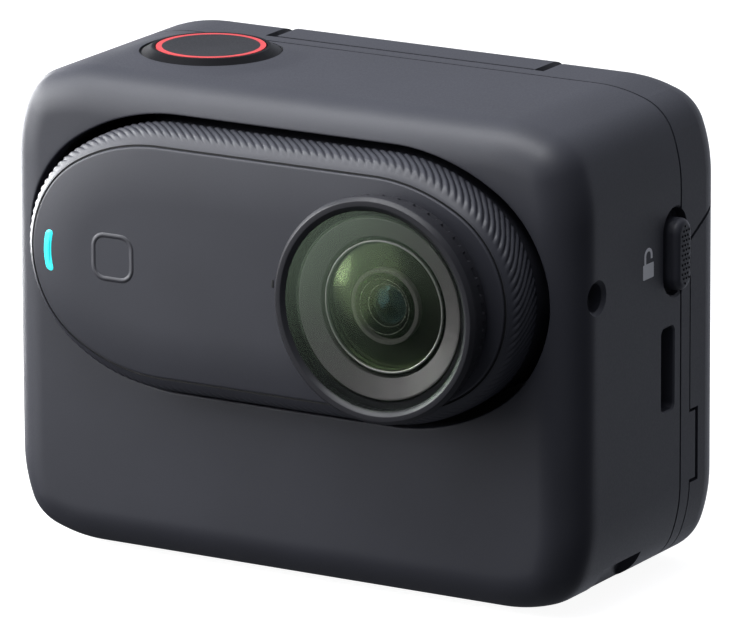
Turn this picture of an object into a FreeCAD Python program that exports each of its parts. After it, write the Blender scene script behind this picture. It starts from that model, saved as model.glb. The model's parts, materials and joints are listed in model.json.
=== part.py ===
import FreeCAD, Part
import math
import operator
import os
import Sketcher

# A pocket action camera in two pieces: a pill shaped camera that sits in an open bay, and the pod
# that carries it, with its battery, its shutter button and a screen that flips up at the back.
# X points right in the front view, Y from front to back and Z up. The origin is the middle of the
# flat base. Every length is in millimetres.

os.makedirs("parts", exist_ok=True)
doc = FreeCAD.newDocument("action_camera")

DIMENSIONS = {
    # pod
    "pod_width": 63.5,
    "pod_height": 47.6,
    "pod_front": -14.75,
    "pod_back": 14.75,
    "pod_corner": 9.2,
    "front_round": 4.2,
    "back_round": 4.0,
    "shell_wall": 1.8,
    "shell_back": 5.82,
    "frame_front": 5.97,
    "frame_back": 7.6,
    "frame_wall": 1.0,
    # screen module and its hinge
    "screen_front": 7.8,
    "hinge_depth": 11.35,
    "hinge_height": 44.25,
    "hinge_relief": 5.0,
    "pin_radius": 1.0,
    "arm_half_width": 14.55,
    "notch_width": 1.1,
    "shoulder_low": 33.1,
    "shoulder_bend_depth": 11.9,
    "shoulder_bend": 35.4,
    "shoulder_high": 39.2,
    "screen_gap": 0.4,
    "glass_width": 56.4,
    "glass_height": 33.2,
    "glass_middle": 20.6,
    "glass_thickness": 0.85,
    # bay for the camera
    "bay_middle": 30.85,
    "bay_length": 57.8,
    "bay_height": 27.5,
    "bay_floor": 2.3,
    "liner_wall": 0.8,
    "cap_start": 11.9,
    # camera
    "case_length": 54.4,
    "case_height": 25.6,
    "case_back": 2.15,
    "case_flare": -14.6,
    "case_shoulder": -17.2,
    "case_front": -18.05,
    "case_wall": 0.6,
    "shoulder_length": 54.0,
    "shoulder_height": 24.9,
    "face_length": 52.4,
    "face_height": 22.7,
    "face_back": -18.2,
    "face_front": -18.9,
    "face_round": 0.5,
    # status light in the face
    "light_left": -24.76,
    "light_width": 1.2,
    "light_low": 28.7,
    "light_height": 4.05,
    "light_back": -17.6,
    # lens and its guard
    "lens_across": 14.4,
    "lens_middle": 30.45,
    "mount_radius": 9.4,
    "mount_bore": 8.85,
    "mount_front": -20.5,
    "mount_back": -17.4,
    "guard_radius": 11.0,
    "guard_wall": 10.8,
    "guard_lip": 10.62,
    "guard_lip_bore": 10.12,
    "guard_front": -22.65,
    "guard_bevel": 0.45,
    "guard_groove": -20.1,
    "guard_foot": 10.35,
    "guard_back": -19.2,
    "guard_bore": 10.0,
    "glass_radius": 9.65,
    "glass_front": -22.4,
    "ledge_front": -21.5,
    "ledge_back": -21.2,
    "ledge_bore": 9.0,
    # shutter button
    "shutter_across": -16.5,
    "shutter_depth": -1.1,
    "bezel_radius": 6.94,
    "cap_radius": 4.8,
    # lock slider
    "lock_depth": 4.8,
    "lock_middle": 32.2,
    "lock_travel": 0.8,
    # charging port cover
    "door_depth": -2.0,
    "door_low": 8.9,
    "door_high": 15.3,
    "door_half_width": 6.4,
    "door_thickness": 1.0,
}

sheet = doc.addObject("Spreadsheet::Sheet", "dims")
for row, (alias, number) in enumerate(DIMENSIONS.items(), start=1):
    sheet.set(f"A{row}", str(number))
    sheet.setAlias(f"A{row}", alias)
doc.recompute()

OPERATIONS = {"+": operator.add, "-": operator.sub, "*": operator.mul, "/": operator.truediv}


class Size:
    """A length that carries both its number and the sheet expression that drives it."""

    def __init__(self, number, text):
        self.number = number
        self.text = text

    def __add__(self, other):
        return combine(self, "+", other)

    def __sub__(self, other):
        return combine(self, "-", other)

    def __mul__(self, other):
        return combine(self, "*", other)

    def __truediv__(self, other):
        return combine(self, "/", other)

    def __radd__(self, other):
        return combine(other, "+", self)

    def __rsub__(self, other):
        return combine(other, "-", self)

    def __rmul__(self, other):
        return combine(other, "*", self)

    def __neg__(self):
        return combine(0, "-", self)


def number_of(value):
    return value.number if isinstance(value, Size) else float(value)


def text_of(value):
    return value.text if isinstance(value, Size) else f"({float(value)})"


def combine(left, sign, right):
    number = OPERATIONS[sign](number_of(left), number_of(right))
    return Size(number, f"({text_of(left)} {sign} {text_of(right)})")


class Dims:
    """Gives each cell of the sheet as a Size, by its alias."""

    def __getattr__(self, alias):
        return Size(DIMENSIONS[alias], f"dims.{alias}")


dim = Dims()
half_width = dim.pod_width / 2
half_height = dim.pod_height / 2


# ---------------------------------------------------------------------------------------------
# Outlines. A loop is a list of corners, each (across, up) or (across, up, radius), where the
# radius makes the edge to the next corner an arc that turns left, or right if it is negative.

def mirrored_loop(quarter):
    """Completes an outline from its upper right quarter, given from the right end to the top."""
    loop = []
    radii = [corner[2] for corner in quarter[:-1]]
    for flip_across, flip_up in ((1, 1), (-1, 1), (-1, -1), (1, -1)):
        forwards = 1 if flip_across == flip_up else -1
        turns = radii[::forwards]
        for index, corner in enumerate(quarter[::forwards]):
            loop.append((flip_across * corner[0], flip_up * corner[1], *turns[index:index + 1]))
    following = loop[1:] + loop[:1]
    return [corner for corner, after in zip(loop, following) if not repeated(corner, after)]


def repeated(corner, following):
    """True where two quarters of an outline meet in one point, which is then kept once."""
    gap = [abs(number_of(corner[i]) - number_of(following[i])) for i in (0, 1)]
    return len(corner) == 2 and max(gap) < 1e-6


def moved(loop, across, up):
    return [(corner[0] + across, corner[1] + up, *corner[2:]) for corner in loop]


SOFT_ANGLE = math.radians(20)
SOFT_RADIUS = 1.68


def soft_rectangle(half_across, half_up, corner):
    """A rectangle whose corners are three tangent arcs, gentle, then tight, then gentle."""
    gentle = corner * SOFT_RADIUS
    reach = SOFT_RADIUS * (1 + math.sin(SOFT_ANGLE) - math.cos(SOFT_ANGLE))
    tight_share = (1 - reach) / (math.cos(SOFT_ANGLE) - math.sin(SOFT_ANGLE))
    tight = corner * tight_share
    near = corner * (SOFT_RADIUS * (1 - math.cos(SOFT_ANGLE)))
    far = corner * (1 - SOFT_RADIUS * math.sin(SOFT_ANGLE))
    return mirrored_loop([
        (half_across, half_up - corner, gentle),
        (half_across - near, half_up - far, tight),
        (half_across - far, half_up - near, gentle),
        (half_across - corner, half_up),
    ])


END_SHARE = 0.9


def pill(half_length, half_up):
    """The camera's outline: straight long sides, and ends of two tangent arcs."""
    end = half_up * END_SHARE
    inset = half_length - dim.cap_start - end
    side = (inset * inset + half_up * half_up - end * end) / (2 * (half_up - end))
    share = end / (side - end)
    across = half_length - end + inset * share
    up = (side - half_up) * share
    return [
        (across, up, side),
        (dim.cap_start, half_up),
        (-dim.cap_start, half_up, side),
        (-across, up, end),
        (-across, -up, side),
        (-dim.cap_start, -half_up),
        (dim.cap_start, -half_up, side),
        (across, -up, end),
    ]


def slot_outline(half_across, half_up):
    """A narrow upright slot with round ends."""
    straight = half_up - half_across
    return mirrored_loop([
        (half_across, straight, half_across),
        (0, half_up),
    ])


def rounded_rectangle(half_across, half_up, corner):
    return mirrored_loop([
        (half_across, half_up - corner, corner),
        (half_across - corner, half_up),
    ])


def rectangle(across, up):
    return [(across[0], up[0]), (across[1], up[0]), (across[1], up[1]), (across[0], up[1])]


# ---------------------------------------------------------------------------------------------
# Solids. The front plane is drawn in X and Z, the side plane in Y and Z, the top plane in X and Y.

PLANES = {"front": "XZ_Plane", "side": "YZ_Plane", "top": "XY_Plane"}


def bind(item, place, value):
    item.setExpression(place, text_of(value))


def arc_between(start, end, radius):
    """The shorter arc from start to end, with its centre on the left if the radius is positive."""
    chord = end - start
    middle = (start + end) * 0.5
    half = chord.Length / 2
    left = FreeCAD.Vector(-chord.y, chord.x, 0).normalize()
    rise = math.sqrt(max(radius * radius - half * half, 0))
    centre = middle + left * math.copysign(rise, radius)
    first, last = (start, end) if radius > 0 else (end, start)
    circle = Part.Circle(centre, FreeCAD.Vector(0, 0, 1), abs(radius))
    angles = [math.atan2(point.y - centre.y, point.x - centre.x) for point in (first, last)]
    return Part.ArcOfCircle(circle, *angles)


def draw_loop(sketch, loop):
    """Draws a closed outline and ties every corner and radius to the sheet."""
    corners = [FreeCAD.Vector(number_of(c[0]), number_of(c[1]), 0) for c in loop]
    edges = []
    for index, corner in enumerate(loop):
        start = corners[index]
        end = corners[(index + 1) % len(loop)]
        radius = number_of(corner[2]) if len(corner) > 2 else 0
        curve = arc_between(start, end, radius) if radius else Part.LineSegment(start, end)
        edges.append((sketch.addGeometry(curve), radius < 0))
    for index, (edge, backwards) in enumerate(edges):
        following, following_backwards = edges[(index + 1) % len(edges)]
        own_end = 1 if backwards else 2
        next_start = 2 if following_backwards else 1
        sketch.addConstraint(Sketcher.Constraint("Coincident", edge, own_end, following, next_start))
    for (edge, backwards), corner, point in zip(edges, loop, corners):
        start = 2 if backwards else 1
        for kind, value, here in (("DistanceX", corner[0], point.x), ("DistanceY", corner[1], point.y)):
            rule = sketch.addConstraint(Sketcher.Constraint(kind, -1, 1, edge, start, here))
            bind(sketch, f"Constraints[{rule}]", value)
        if len(corner) > 2:
            reach = abs(number_of(corner[2]))
            rule = sketch.addConstraint(Sketcher.Constraint("Radius", edge, reach))
            size = corner[2] if number_of(corner[2]) > 0 else -corner[2]
            bind(sketch, f"Constraints[{rule}]", size)


def draw(body, plane, loops, offset):
    """Puts a sketch of closed outlines on one of the body's own planes."""
    sketch = body.newObject("Sketcher::SketchObject", f"{body.Name}_outline")
    support = next(item for item in body.Origin.OriginFeatures if item.Role == PLANES[plane])
    sketch.AttachmentSupport = [(support, "")]
    sketch.MapMode = "FlatFace"
    bind(sketch, "AttachmentOffset.Base.z", -offset if plane == "front" else offset)
    for loop in loops:
        draw_loop(sketch, loop)
    return sketch


def prism(label, plane, loops, low, high):
    """A body padded from one outline, between two places along the plane's normal."""
    body = doc.addObject("PartDesign::Body", label)
    pad_prism(body, plane, loops, low, high)
    return body


def pad_prism(body, plane, loops, low, high):
    sketch = draw(body, plane, loops, high if plane == "front" else low)
    pad = body.newObject("PartDesign::Pad", f"{body.Name}_pad")
    pad.Profile = sketch
    bind(pad, "Length", high - low)
    doc.recompute()
    return pad


def pocket_prism(body, plane, loops, low, high):
    """Cuts an outline out of a body, between two places along the plane's normal."""
    before = body.Shape.Volume
    sketch = draw(body, plane, loops, low if plane == "front" else high)
    pocket = body.newObject("PartDesign::Pocket", f"{body.Name}_pocket")
    pocket.Profile = sketch
    bind(pocket, "Length", high - low)
    doc.recompute()
    if body.Shape.Volume >= before:
        raise RuntimeError(f"a pocket in {body.Name} cut nothing")
    return pocket


def round_edges(body, radius, chosen):
    """Fillets the edges that the chosen test accepts."""
    base = body.Tip
    names = [f"Edge{n}" for n, edge in enumerate(base.Shape.Edges, start=1) if chosen(edge)]
    fillet = body.newObject("PartDesign::Fillet", f"{body.Name}_round")
    fillet.Base = (base, names)
    bind(fillet, "Radius", radius)
    doc.recompute()
    return fillet


def edge_at_depth(depth):
    """Accepts edges that lie in the plane Y = depth."""
    def chosen(edge):
        box = edge.BoundBox
        return max(abs(box.YMin - depth), abs(box.YMax - depth)) < 0.01
    return chosen


def turned(label, axis, profile, centre):
    """A body turned about an axis along Y or Z. The profile's corners are (along, radius)."""
    body = doc.addObject("PartDesign::Body", label)
    if axis == "y":
        sketch = draw(body, "side", [profile], 0)
        turn_axis = "H_Axis"
        places = ("x", "z")
    else:
        flipped = [(corner[1], corner[0], *corner[2:]) for corner in profile]
        sketch = draw(body, "front", [flipped], Size(0, "0"))
        turn_axis = "V_Axis"
        places = ("x", "y")
    turn = body.newObject("PartDesign::Revolution", f"{label}_turn")
    turn.Profile = sketch
    turn.ReferenceAxis = (sketch, [turn_axis])
    turn.Angle = 360
    for place, value in zip(places, centre):
        bind(body, f"Placement.Base.{place}", value)
    doc.recompute()
    return body


def block(label, across, depth, up):
    """A box between two places along each of X, Y and Z."""
    box = doc.addObject("Part::Box", label)
    for place, side, (low, high) in zip("xyz", ("Length", "Width", "Height"), (across, depth, up)):
        bind(box, side, high - low)
        bind(box, f"Placement.Base.{place}", low)
    return box


ROD_TURNS = {
    "x": FreeCAD.Rotation(FreeCAD.Vector(0, 1, 0), 90),
    "y": FreeCAD.Rotation(FreeCAD.Vector(1, 0, 0), -90),
    "z": FreeCAD.Rotation(),
}


def rod(label, axis, centre, radius, low, high):
    """A cylinder along one axis. The centre gives the other two coordinates, in their order."""
    cylinder = doc.addObject("Part::Cylinder", label)
    cylinder.Placement.Rotation = ROD_TURNS[axis]
    others = [place for place in "xyz" if place != axis]
    bind(cylinder, f"Placement.Base.{axis}", low)
    for place, value in zip(others, centre):
        bind(cylinder, f"Placement.Base.{place}", value)
    bind(cylinder, "Radius", radius)
    bind(cylinder, "Height", high - low)
    return cylinder


def together(label, shapes):
    """Joins solids, or keeps separate ones as a group."""
    fusion = doc.addObject("Part::MultiFuse", label)
    fusion.Shapes = shapes
    return fusion


def cut(label, base, tools):
    result = doc.addObject("Part::Cut", label)
    result.Base = base
    result.Tool = tools[0] if len(tools) == 1 else together(f"{label}_cutters", tools)
    return result


def common(label, base, tool):
    result = doc.addObject("Part::Common", label)
    result.Base = base
    result.Tool = tool
    return result


# ---------------------------------------------------------------------------------------------
# Pod: the two halves of its shell and the bay's lining

pod_middle = half_height
pod_outline = moved(soft_rectangle(half_width, half_height, dim.pod_corner), 0, pod_middle)
inner_outline = moved(
    soft_rectangle(half_width - dim.shell_wall, half_height - dim.shell_wall, dim.pod_corner - 1.5),
    0, pod_middle)
front_inner = dim.pod_front + dim.shell_wall
side_inner = half_width - dim.shell_wall
bay_outline = moved(pill(dim.bay_length / 2, dim.bay_height / 2), 0, dim.bay_middle)
over = 1.0
wall_reach = side_inner - 2.0
screw_places = [(side * 27.3, up) for side in (-1, 1) for up in (4.4, 43.2)]
screw_radius, screw_head_radius = 0.7, 1.35
boss_radius, boss_front = 1.8, -4.0
screw_front, screw_head_front, screw_back, screw_well_back = 0.5, 6.95, 7.5, 8.0
hole_depth, hole_height, hole_radius = -10.5, 31.24, 1.4
speaker_depth, speaker_height = 3.3, 21.1
slot_half_width, slot_half_height, slot_corner = 1.22, 4.1, 0.6
bezel_seat, shutter_bore, shutter_hole_low = 0.3, 5.9, 44.0
notch_radius, notch_inset, notch_depth = 3.5, 0.3, (-7.4, -0.1)
button_depth = -1.0
button_heights = {"power_button": 24.2, "quick_button": 19.0}
button_half_width, button_half_height = 1.15, 1.75
button_clearance = 0.15
lock_recess, recess_half_width, recess_half_height = 1.0, 2.25, 4.3
stem_across = (28.6, 31.0)
stem_depth = (3.7, 5.2)
stem_height = (31.0, 33.4)
stem_clearance = 0.2
door_clearance, door_swing_room, door_pin_radius = 0.2, 0.75, 0.25
port_half_width, port_height, port_wall = 4.5, (10.4, 13.6), 0.35
door_hinge = (-(half_width - dim.door_thickness / 2), dim.door_low)


def front_shell():
    form = prism("front_shell_form", "front", [pod_outline], dim.pod_front, dim.shell_back)
    round_edges(form, dim.front_round, edge_at_depth(dim.pod_front.number))
    pocket_prism(form, "front", [inner_outline], front_inner, dim.shell_back)
    bosses = [rod(f"screw_boss_{n}", "y", place, boss_radius, boss_front, dim.shell_back)
              for n, place in enumerate(screw_places)]
    shell = together("front_shell_bossed", [form, *bosses])
    tools = [rod(f"screw_hole_{n}", "y", place, screw_radius, screw_front - 0.2, dim.shell_back + over)
             for n, place in enumerate(screw_places)]
    tools.append(prism("bay_opening", "front", [bay_outline], dim.pod_front - over, front_inner + over))
    shutter = (dim.shutter_across, dim.shutter_depth)
    top = dim.pod_height + over
    tools.append(rod("bezel_seat", "z", shutter, dim.bezel_radius, dim.pod_height - bezel_seat, top))
    tools.append(rod("shutter_hole", "z", shutter, shutter_bore, shutter_hole_low, top))
    tools.append(rod("side_hole", "x", (hole_depth, hole_height), hole_radius, wall_reach, half_width + over))
    speaker_slot = moved(rounded_rectangle(slot_half_width, slot_half_height, slot_corner),
                         speaker_depth, speaker_height)
    tools.append(prism("speaker_slot", "side", [speaker_slot], wall_reach, half_width + over))
    tools.append(lock_recess_cutter())
    stem = [(low - stem_clearance, high + stem_clearance) for low, high in (stem_depth, stem_height)]
    tools.append(block("stem_slot", (wall_reach, half_width + over), stem[0],
                       (stem[1][0], stem[1][1] + dim.lock_travel)))
    tools.extend(door_cutters())
    for name, height in button_heights.items():
        outline = slot_outline(button_half_width + button_clearance, button_half_height + button_clearance)
        hole = moved(outline, button_depth, height)
        tools.append(prism(f"{name}_hole", "side", [hole], -half_width - over, -side_inner + over))
    for side in (-1, 1):
        notch = (side * (half_width - notch_inset), notch_inset)
        tools.append(rod(f"claw_notch_{side + 1}", "y", notch, notch_radius, *notch_depth))
    return cut("front_shell", shell, tools)


def lock_recess_cutter():
    """Room for the slider and its travel."""
    outline = slot_outline(recess_half_width, recess_half_height)
    recess = moved(outline, dim.lock_depth - 0.05, dim.lock_middle + 0.2)
    return prism("lock_recess", "side", [recess], half_width - lock_recess, half_width + over)


def door_cutters():
    """The charging port's recess, its opening, and the hole for the cover's pin."""
    low = dim.door_depth - dim.door_half_width
    high = dim.door_depth + dim.door_half_width
    recess = block(
        "door_recess", (-half_width - over, -half_width + dim.door_thickness + 0.1),
        (low - door_clearance, high + door_clearance),
        (dim.door_low - door_swing_room, dim.door_high + door_clearance))
    opening = block("port_opening", (-half_width, -side_inner + over),
                    (dim.door_depth - port_half_width - 0.1, dim.door_depth + port_half_width + 0.1),
                    (port_height[0] - 0.1, port_height[1] + 0.1))
    pin_hole = rod("door_pin_hole", "y", door_hinge, door_pin_radius, low - over, high + over)
    return [recess, opening, pin_hole]


# Outline of the pod's raised shoulders behind the frame, in Y and Z, down to their sloping edge
shoulder_slope = [
    (dim.frame_back, dim.shoulder_low),
    (dim.shoulder_bend_depth, dim.shoulder_bend),
    (dim.pod_back + 0.01, dim.shoulder_high),
]
shoulder_inner = dim.arm_half_width + dim.notch_width
shoulder_hollow = (16.9, 25.5)
relief_low, pin_hole_reach = 40.2, 21.75
tab_height = (9.1, 15.8)
tab_back, tab_width = 8.8, 1.6
frame_inner_corner = 8.0


def rear_form(label):
    """The pod's outline from the frame to the back, with its rounded back edge."""
    form = prism(label, "front", [pod_outline], dim.frame_front, dim.pod_back)
    round_edges(form, dim.back_round, edge_at_depth(dim.pod_back.number))
    return form


def rear_frame():
    shoulder = [(dim.frame_front, dim.shoulder_low), *shoulder_slope,
                (dim.pod_back + 0.01, dim.pod_height + over), (dim.frame_front, dim.pod_height + over)]
    slab = block("frame_slab", (-half_width - over, half_width + over), (dim.frame_front, dim.frame_back),
                 (-over, dim.pod_height + over))
    shoulders = [
        prism("right_shoulder", "side", [shoulder], shoulder_inner, half_width + over),
        prism("left_shoulder", "side", [shoulder], -half_width - over, -shoulder_inner),
    ]
    tab = block("nail_tab", (half_width - tab_width, half_width + over), (dim.frame_front, tab_back),
                tab_height)
    region = together("frame_region", [slab, *shoulders, tab])
    frame = common("frame_form", rear_form("frame_outline"), region)
    hinge = (dim.hinge_depth, dim.hinge_height)
    floor = dim.frame_back - dim.frame_wall
    inner = soft_rectangle(half_width - dim.shell_wall, (relief_low - dim.shell_wall) / 2, frame_inner_corner)
    inner = moved(inner, 0, (relief_low + dim.shell_wall) / 2)
    tools = [
        rod("hinge_relief", "x", hinge, dim.hinge_relief, -shoulder_inner, shoulder_inner),
        prism("frame_inside", "front", [inner], dim.frame_front, floor),
        rod("pin_holes", "x", hinge, dim.pin_radius, -pin_hole_reach, pin_hole_reach),
        lock_recess_cutter(),
    ]
    for side in (-1, 1):
        across = sorted(side * edge for edge in shoulder_hollow)
        tools.append(block(f"shoulder_inside_{side + 1}", across, (dim.frame_front, 13.0), (38.8, 45.9)))
    for n, place in enumerate(screw_places):
        tools.append(rod(f"frame_screw_hole_{n}", "y", place, screw_radius, 5, screw_well_back))
        tools.append(rod(f"frame_screw_head_{n}", "y", place, screw_head_radius + 0.05, screw_head_front,
                         screw_well_back))
    return cut("rear_frame", frame, tools)


hook_across, hook_height = (22.4, 23.6), (31.0, 33.6)
hook_slot_across, hook_slot_height = (22.1, 23.9), (30.7, 33.9)
contact_across, contact_height = (-8, 8), (20.5, 23.5)
pin_radius, pin_pitch, pin_middle = 0.6, 4, 22
magnet_radius, magnet_places = 4, (-15, 15)


def bay_liner():
    outer = moved(pill(dim.bay_length / 2 + dim.liner_wall, dim.bay_height / 2 + dim.liner_wall),
                  0, dim.bay_middle)
    form = prism("liner_form", "front", [outer], front_inner, dim.bay_floor + dim.liner_wall)
    pocket_prism(form, "front", [bay_outline], front_inner, dim.bay_floor)
    tools = [
        rod("liner_side_hole", "x", (hole_depth, hole_height), hole_radius, hook_across[1], half_width),
        block("liner_hook_slot", hook_slot_across, (dim.bay_floor - over, 4), hook_slot_height),
        block("liner_contact_slot", contact_across, (dim.bay_floor - over, 4), contact_height),
    ]
    return cut("bay_liner", form, tools)


def seam_gasket():
    """A thin dark seal in the seam between the shell's halves, set back from the surface."""
    set_back = 0.25
    width = 1.0
    outer = soft_rectangle(half_width - set_back, half_height - set_back, dim.pod_corner - set_back)
    inset = set_back + width
    inner = soft_rectangle(half_width - inset, half_height - inset, dim.pod_corner - inset)
    body = prism("gasket_form", "front", [moved(outer, 0, pod_middle)], dim.shell_back, dim.frame_front)
    pocket_prism(body, "front", [moved(inner, 0, pod_middle)], dim.shell_back, dim.frame_front)
    return cut("seam_gasket", body, [lock_recess_cutter()])


# ---------------------------------------------------------------------------------------------
# Pod: what it holds

board_depth = (4.0, 4.8)
foil_depth = (4.85, 5.2)
pod_pin_depth = (dim.bay_floor, board_depth[0])
cell_across, cell_corner = (-23.2, 24.4), 1.5
hinge_line = (dim.hinge_depth, dim.hinge_height)
bracket_outside, pin_end = 18.6, 20.2


def main_board():
    board = block("board_form", (-25.5, 25.5), board_depth, (2.6, 43.6))
    corners = [rod(f"board_corner_{n}", "y", place, boss_radius + 0.4, 3, 6)
               for n, place in enumerate(screw_places)]
    return cut("main_board", board, corners)


def processor_shield():
    return block("processor_shield", (-18, 2), (2.9, board_depth[0]), (4, 14))


def heat_spreader():
    return block("heat_spreader", (-20, 22), foil_depth, (14, 34))


def wifi_antenna():
    return block("wifi_antenna", (-22, -6), foil_depth, (37.5, 42.5))


def pod_battery():
    low, high = (Size(edge, str(edge)) for edge in cell_across)
    cell = prism("pod_battery", "side", [rectangle((-12.2, 2.6), (3.1, 15.2))], low, high)
    round_edges(cell, cell_corner, lambda edge: abs(edge.BoundBox.XLength) > 40)
    return cell


def speaker():
    return block("speaker", (26.6, 29.4), (1.2, 5.6), (15.2, 22.0))


def speaker_mesh():
    return block("speaker_mesh", (29.55, side_inner), (1.6, 5.0), (16.4, 25.8))


def contact_block():
    body = block("contact_block_form", contact_across, (dim.bay_floor, board_depth[0]), contact_height)
    return cut("contact_block", body, [pin_group("contact_holes", pin_radius, pod_pin_depth)])


def contact_pins():
    return pin_group("contact_pins", pin_radius, pod_pin_depth)


def pin_group(label, radius, depth):
    """The four contacts in a row, at the same places in the pod and in the camera."""
    pins = [rod(f"{label}_{n}", "y", ((n - 1.5) * pin_pitch, pin_middle), radius, *depth) for n in range(4)]
    return together(label, pins)


def bay_magnets():
    back = dim.bay_floor + dim.liner_wall
    return together("bay_magnets", [
        rod(f"bay_magnet_{n}", "y", (across, dim.bay_middle), magnet_radius, back, board_depth[0] - 0.1)
        for n, across in enumerate(magnet_places)])


def usb_socket():
    """A charging socket: its steel shell and, inside it, its tongue."""
    low, high = port_height
    bore = port_half_width - port_wall
    outside = block("socket_outside", (-side_inner, -side_inner + 6),
                    (dim.door_depth - port_half_width, dim.door_depth + port_half_width), port_height)
    inside = block("socket_inside", (-side_inner, -side_inner + 5.4),
                   (dim.door_depth - bore, dim.door_depth + bore), (low + port_wall, high - port_wall))
    tongue = block("socket_tongue", (-side_inner + 1, -side_inner + 5.4),
                   (dim.door_depth - 3.3, dim.door_depth + 3.3), (low + 1.25, high - 1.25))
    return together("usb_socket", [cut("socket_shell", outside, [inside]), tongue])


def side_switches():
    switches = [block(f"{name}_switch", (-28.5, -27.7), (button_depth - 1.2, button_depth + 1.2),
                      (height - 2.2, height - 0.4)) for name, height in button_heights.items()]
    return together("side_switches", switches)


def shutter_switch():
    return rod("shutter_switch", "z", (dim.shutter_across, dim.shutter_depth), 2.5, 45.65, 45.85)


def shutter_bezel():
    low, seat, top = 45.9, dim.pod_height - bezel_seat, dim.pod_height + 0.65
    bore = shutter_bore - 0.4
    return turned("shutter_bezel", "z", [
        (low, bore), (low, shutter_bore), (seat, shutter_bore), (seat, dim.bezel_radius),
        (dim.pod_height, dim.bezel_radius), (top, dim.bezel_radius - 1.15), (top, bore),
    ], (dim.shutter_across, dim.shutter_depth))


def hinge_brackets():
    plates = []
    for side in (-1, 1):
        across = sorted((side * 17.0, side * bracket_outside))
        plates.append(block(f"bracket_plate_{side + 1}", across, (9.0, 13.0), (42, 45.4)))
    hole = rod("bracket_bore", "x", hinge_line, dim.pin_radius, -pin_end, pin_end)
    return cut("hinge_brackets", together("bracket_plates", plates), [hole])


def hinge_pins():
    pins = []
    for side in (-1, 1):
        low, high = sorted((side * 11.9, side * pin_end))
        pins.append(rod(f"hinge_pin_{side + 1}", "x", hinge_line, dim.pin_radius, low, high))
    return together("hinge_pins", pins)


def hinge_washers():
    """Spring washers that give the screen's hinge its friction."""
    washers = []
    for side in (-1, 1):
        low, high = sorted((side * bracket_outside, side * 19.8))
        washer = rod(f"washer_disc_{side + 1}", "x", hinge_line, 1.6, low, high)
        bore = rod(f"washer_bore_{side + 1}", "x", hinge_line, dim.pin_radius, low, high)
        washers.append(cut(f"hinge_washer_{side + 1}", washer, [bore]))
    return together("hinge_washers", washers)


def mount_magnets():
    return together("mount_magnets", [
        rod(f"mount_magnet_{n}", "z", (across, -2), 4.5, dim.shell_wall, 2.9)
        for n, across in enumerate((-13, 13))])


def case_screws():
    screws = []
    for n, place in enumerate(screw_places):
        screws.append(rod(f"screw_shank_{n}", "y", place, screw_radius, screw_front, screw_head_front + 0.05))
        screws.append(rod(f"screw_head_{n}", "y", place, screw_head_radius, screw_head_front, screw_back))
    return together("case_screws", screws)


catch_places, catch_radius = ((-20, 9), (20, 9)), 2.4


def catch_magnets():
    """Magnets in the frame that hold the closed screen."""
    floor = dim.frame_back - dim.frame_wall
    return together("catch_magnets", [rod(f"catch_magnet_{n}", "y", place, catch_radius, 6.0, floor)
                                      for n, place in enumerate(catch_places)])


# ---------------------------------------------------------------------------------------------
# Controls

cap_top = dim.pod_height + 0.66


def shutter_cap():
    return turned("shutter_cap", "z", [
        (46.3, 0), (46.3, dim.cap_radius), (cap_top, dim.cap_radius), (cap_top, dim.cap_radius - 0.4),
        (cap_top - 0.12, 0),
    ], (dim.shutter_across, dim.shutter_depth))


def shutter_ring():
    outer = dim.cap_radius + 0.56
    return turned("shutter_ring", "z", [
        (46.9, dim.cap_radius), (46.9, outer), (cap_top, outer), (cap_top, dim.cap_radius),
    ], (dim.shutter_across, dim.shutter_depth))


def side_button(name):
    """A button whose flange keeps it inside the shell's wall."""
    height = button_heights[name]
    stem = moved(slot_outline(button_half_width, button_half_height), button_depth, height)
    flange = moved(slot_outline(button_half_width + 0.4, button_half_height + 0.4), button_depth, height)
    cap = prism(f"{name}_cap", "side", [stem], -half_width - 0.35, -side_inner + 0.5)
    collar = prism(f"{name}_flange", "side", [flange], -side_inner + 0.05, -side_inner + 0.5)
    return together(name, [cap, collar])


def usb_door():
    """The flush cover of the charging port, with its round hinge edge and its bore."""
    low = dim.door_depth - dim.door_half_width
    high = dim.door_depth + dim.door_half_width
    plate = block("door_plate", (-half_width, -half_width + dim.door_thickness), (low, high),
                  (dim.door_low, dim.door_high))
    edge = rod("door_edge", "y", door_hinge, dim.door_thickness / 2, low, high)
    bore = rod("door_bore", "y", door_hinge, door_pin_radius + 0.05, low - over, high + over)
    return cut("usb_door", together("door_form", [plate, edge]), [bore])


def usb_door_pin():
    low = dim.door_depth - dim.door_half_width
    high = dim.door_depth + dim.door_half_width
    return rod("usb_door_pin", "y", door_hinge, door_pin_radius, low - over, high + over)


def lock_slider():
    """The thumb slider on the right side, with the stem that reaches inside."""
    outline = moved(slot_outline(1.5, 3.55), dim.lock_depth, dim.lock_middle)
    outside = half_width + 1.1
    thumb = prism("lock_thumb", "side", [outline], half_width - lock_recess + 0.1, outside)
    round_edges(thumb, 0.5, lambda edge: edge.BoundBox.XMin > outside.number - 0.01)
    stem = block("lock_stem", stem_across, stem_depth, stem_height)
    return together("lock_slider", [thumb, stem])


def lock_hook():
    """The flat arm behind the bay, and the hook that reaches through the bay's floor."""
    low, high = hook_height
    bar_height = (low, high - 1.0)
    bar_depth = (3.2, 3.9)
    tip_front = 0.85
    arm = block("lock_arm", (hook_across[0], stem_across[0]), bar_depth, bar_height)
    link = block("lock_link", (stem_across[0] - 1.0, stem_across[0]), (bar_depth[0], stem_depth[1]),
                 bar_height)
    finger = block("lock_finger", hook_across, (tip_front, bar_depth[1]), bar_height)
    tip = block("lock_tip", hook_across, (tip_front, tip_front + 0.5), hook_height)
    return together("lock_hook", [arm, link, finger, tip])


# ---------------------------------------------------------------------------------------------
# Screen module

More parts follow.
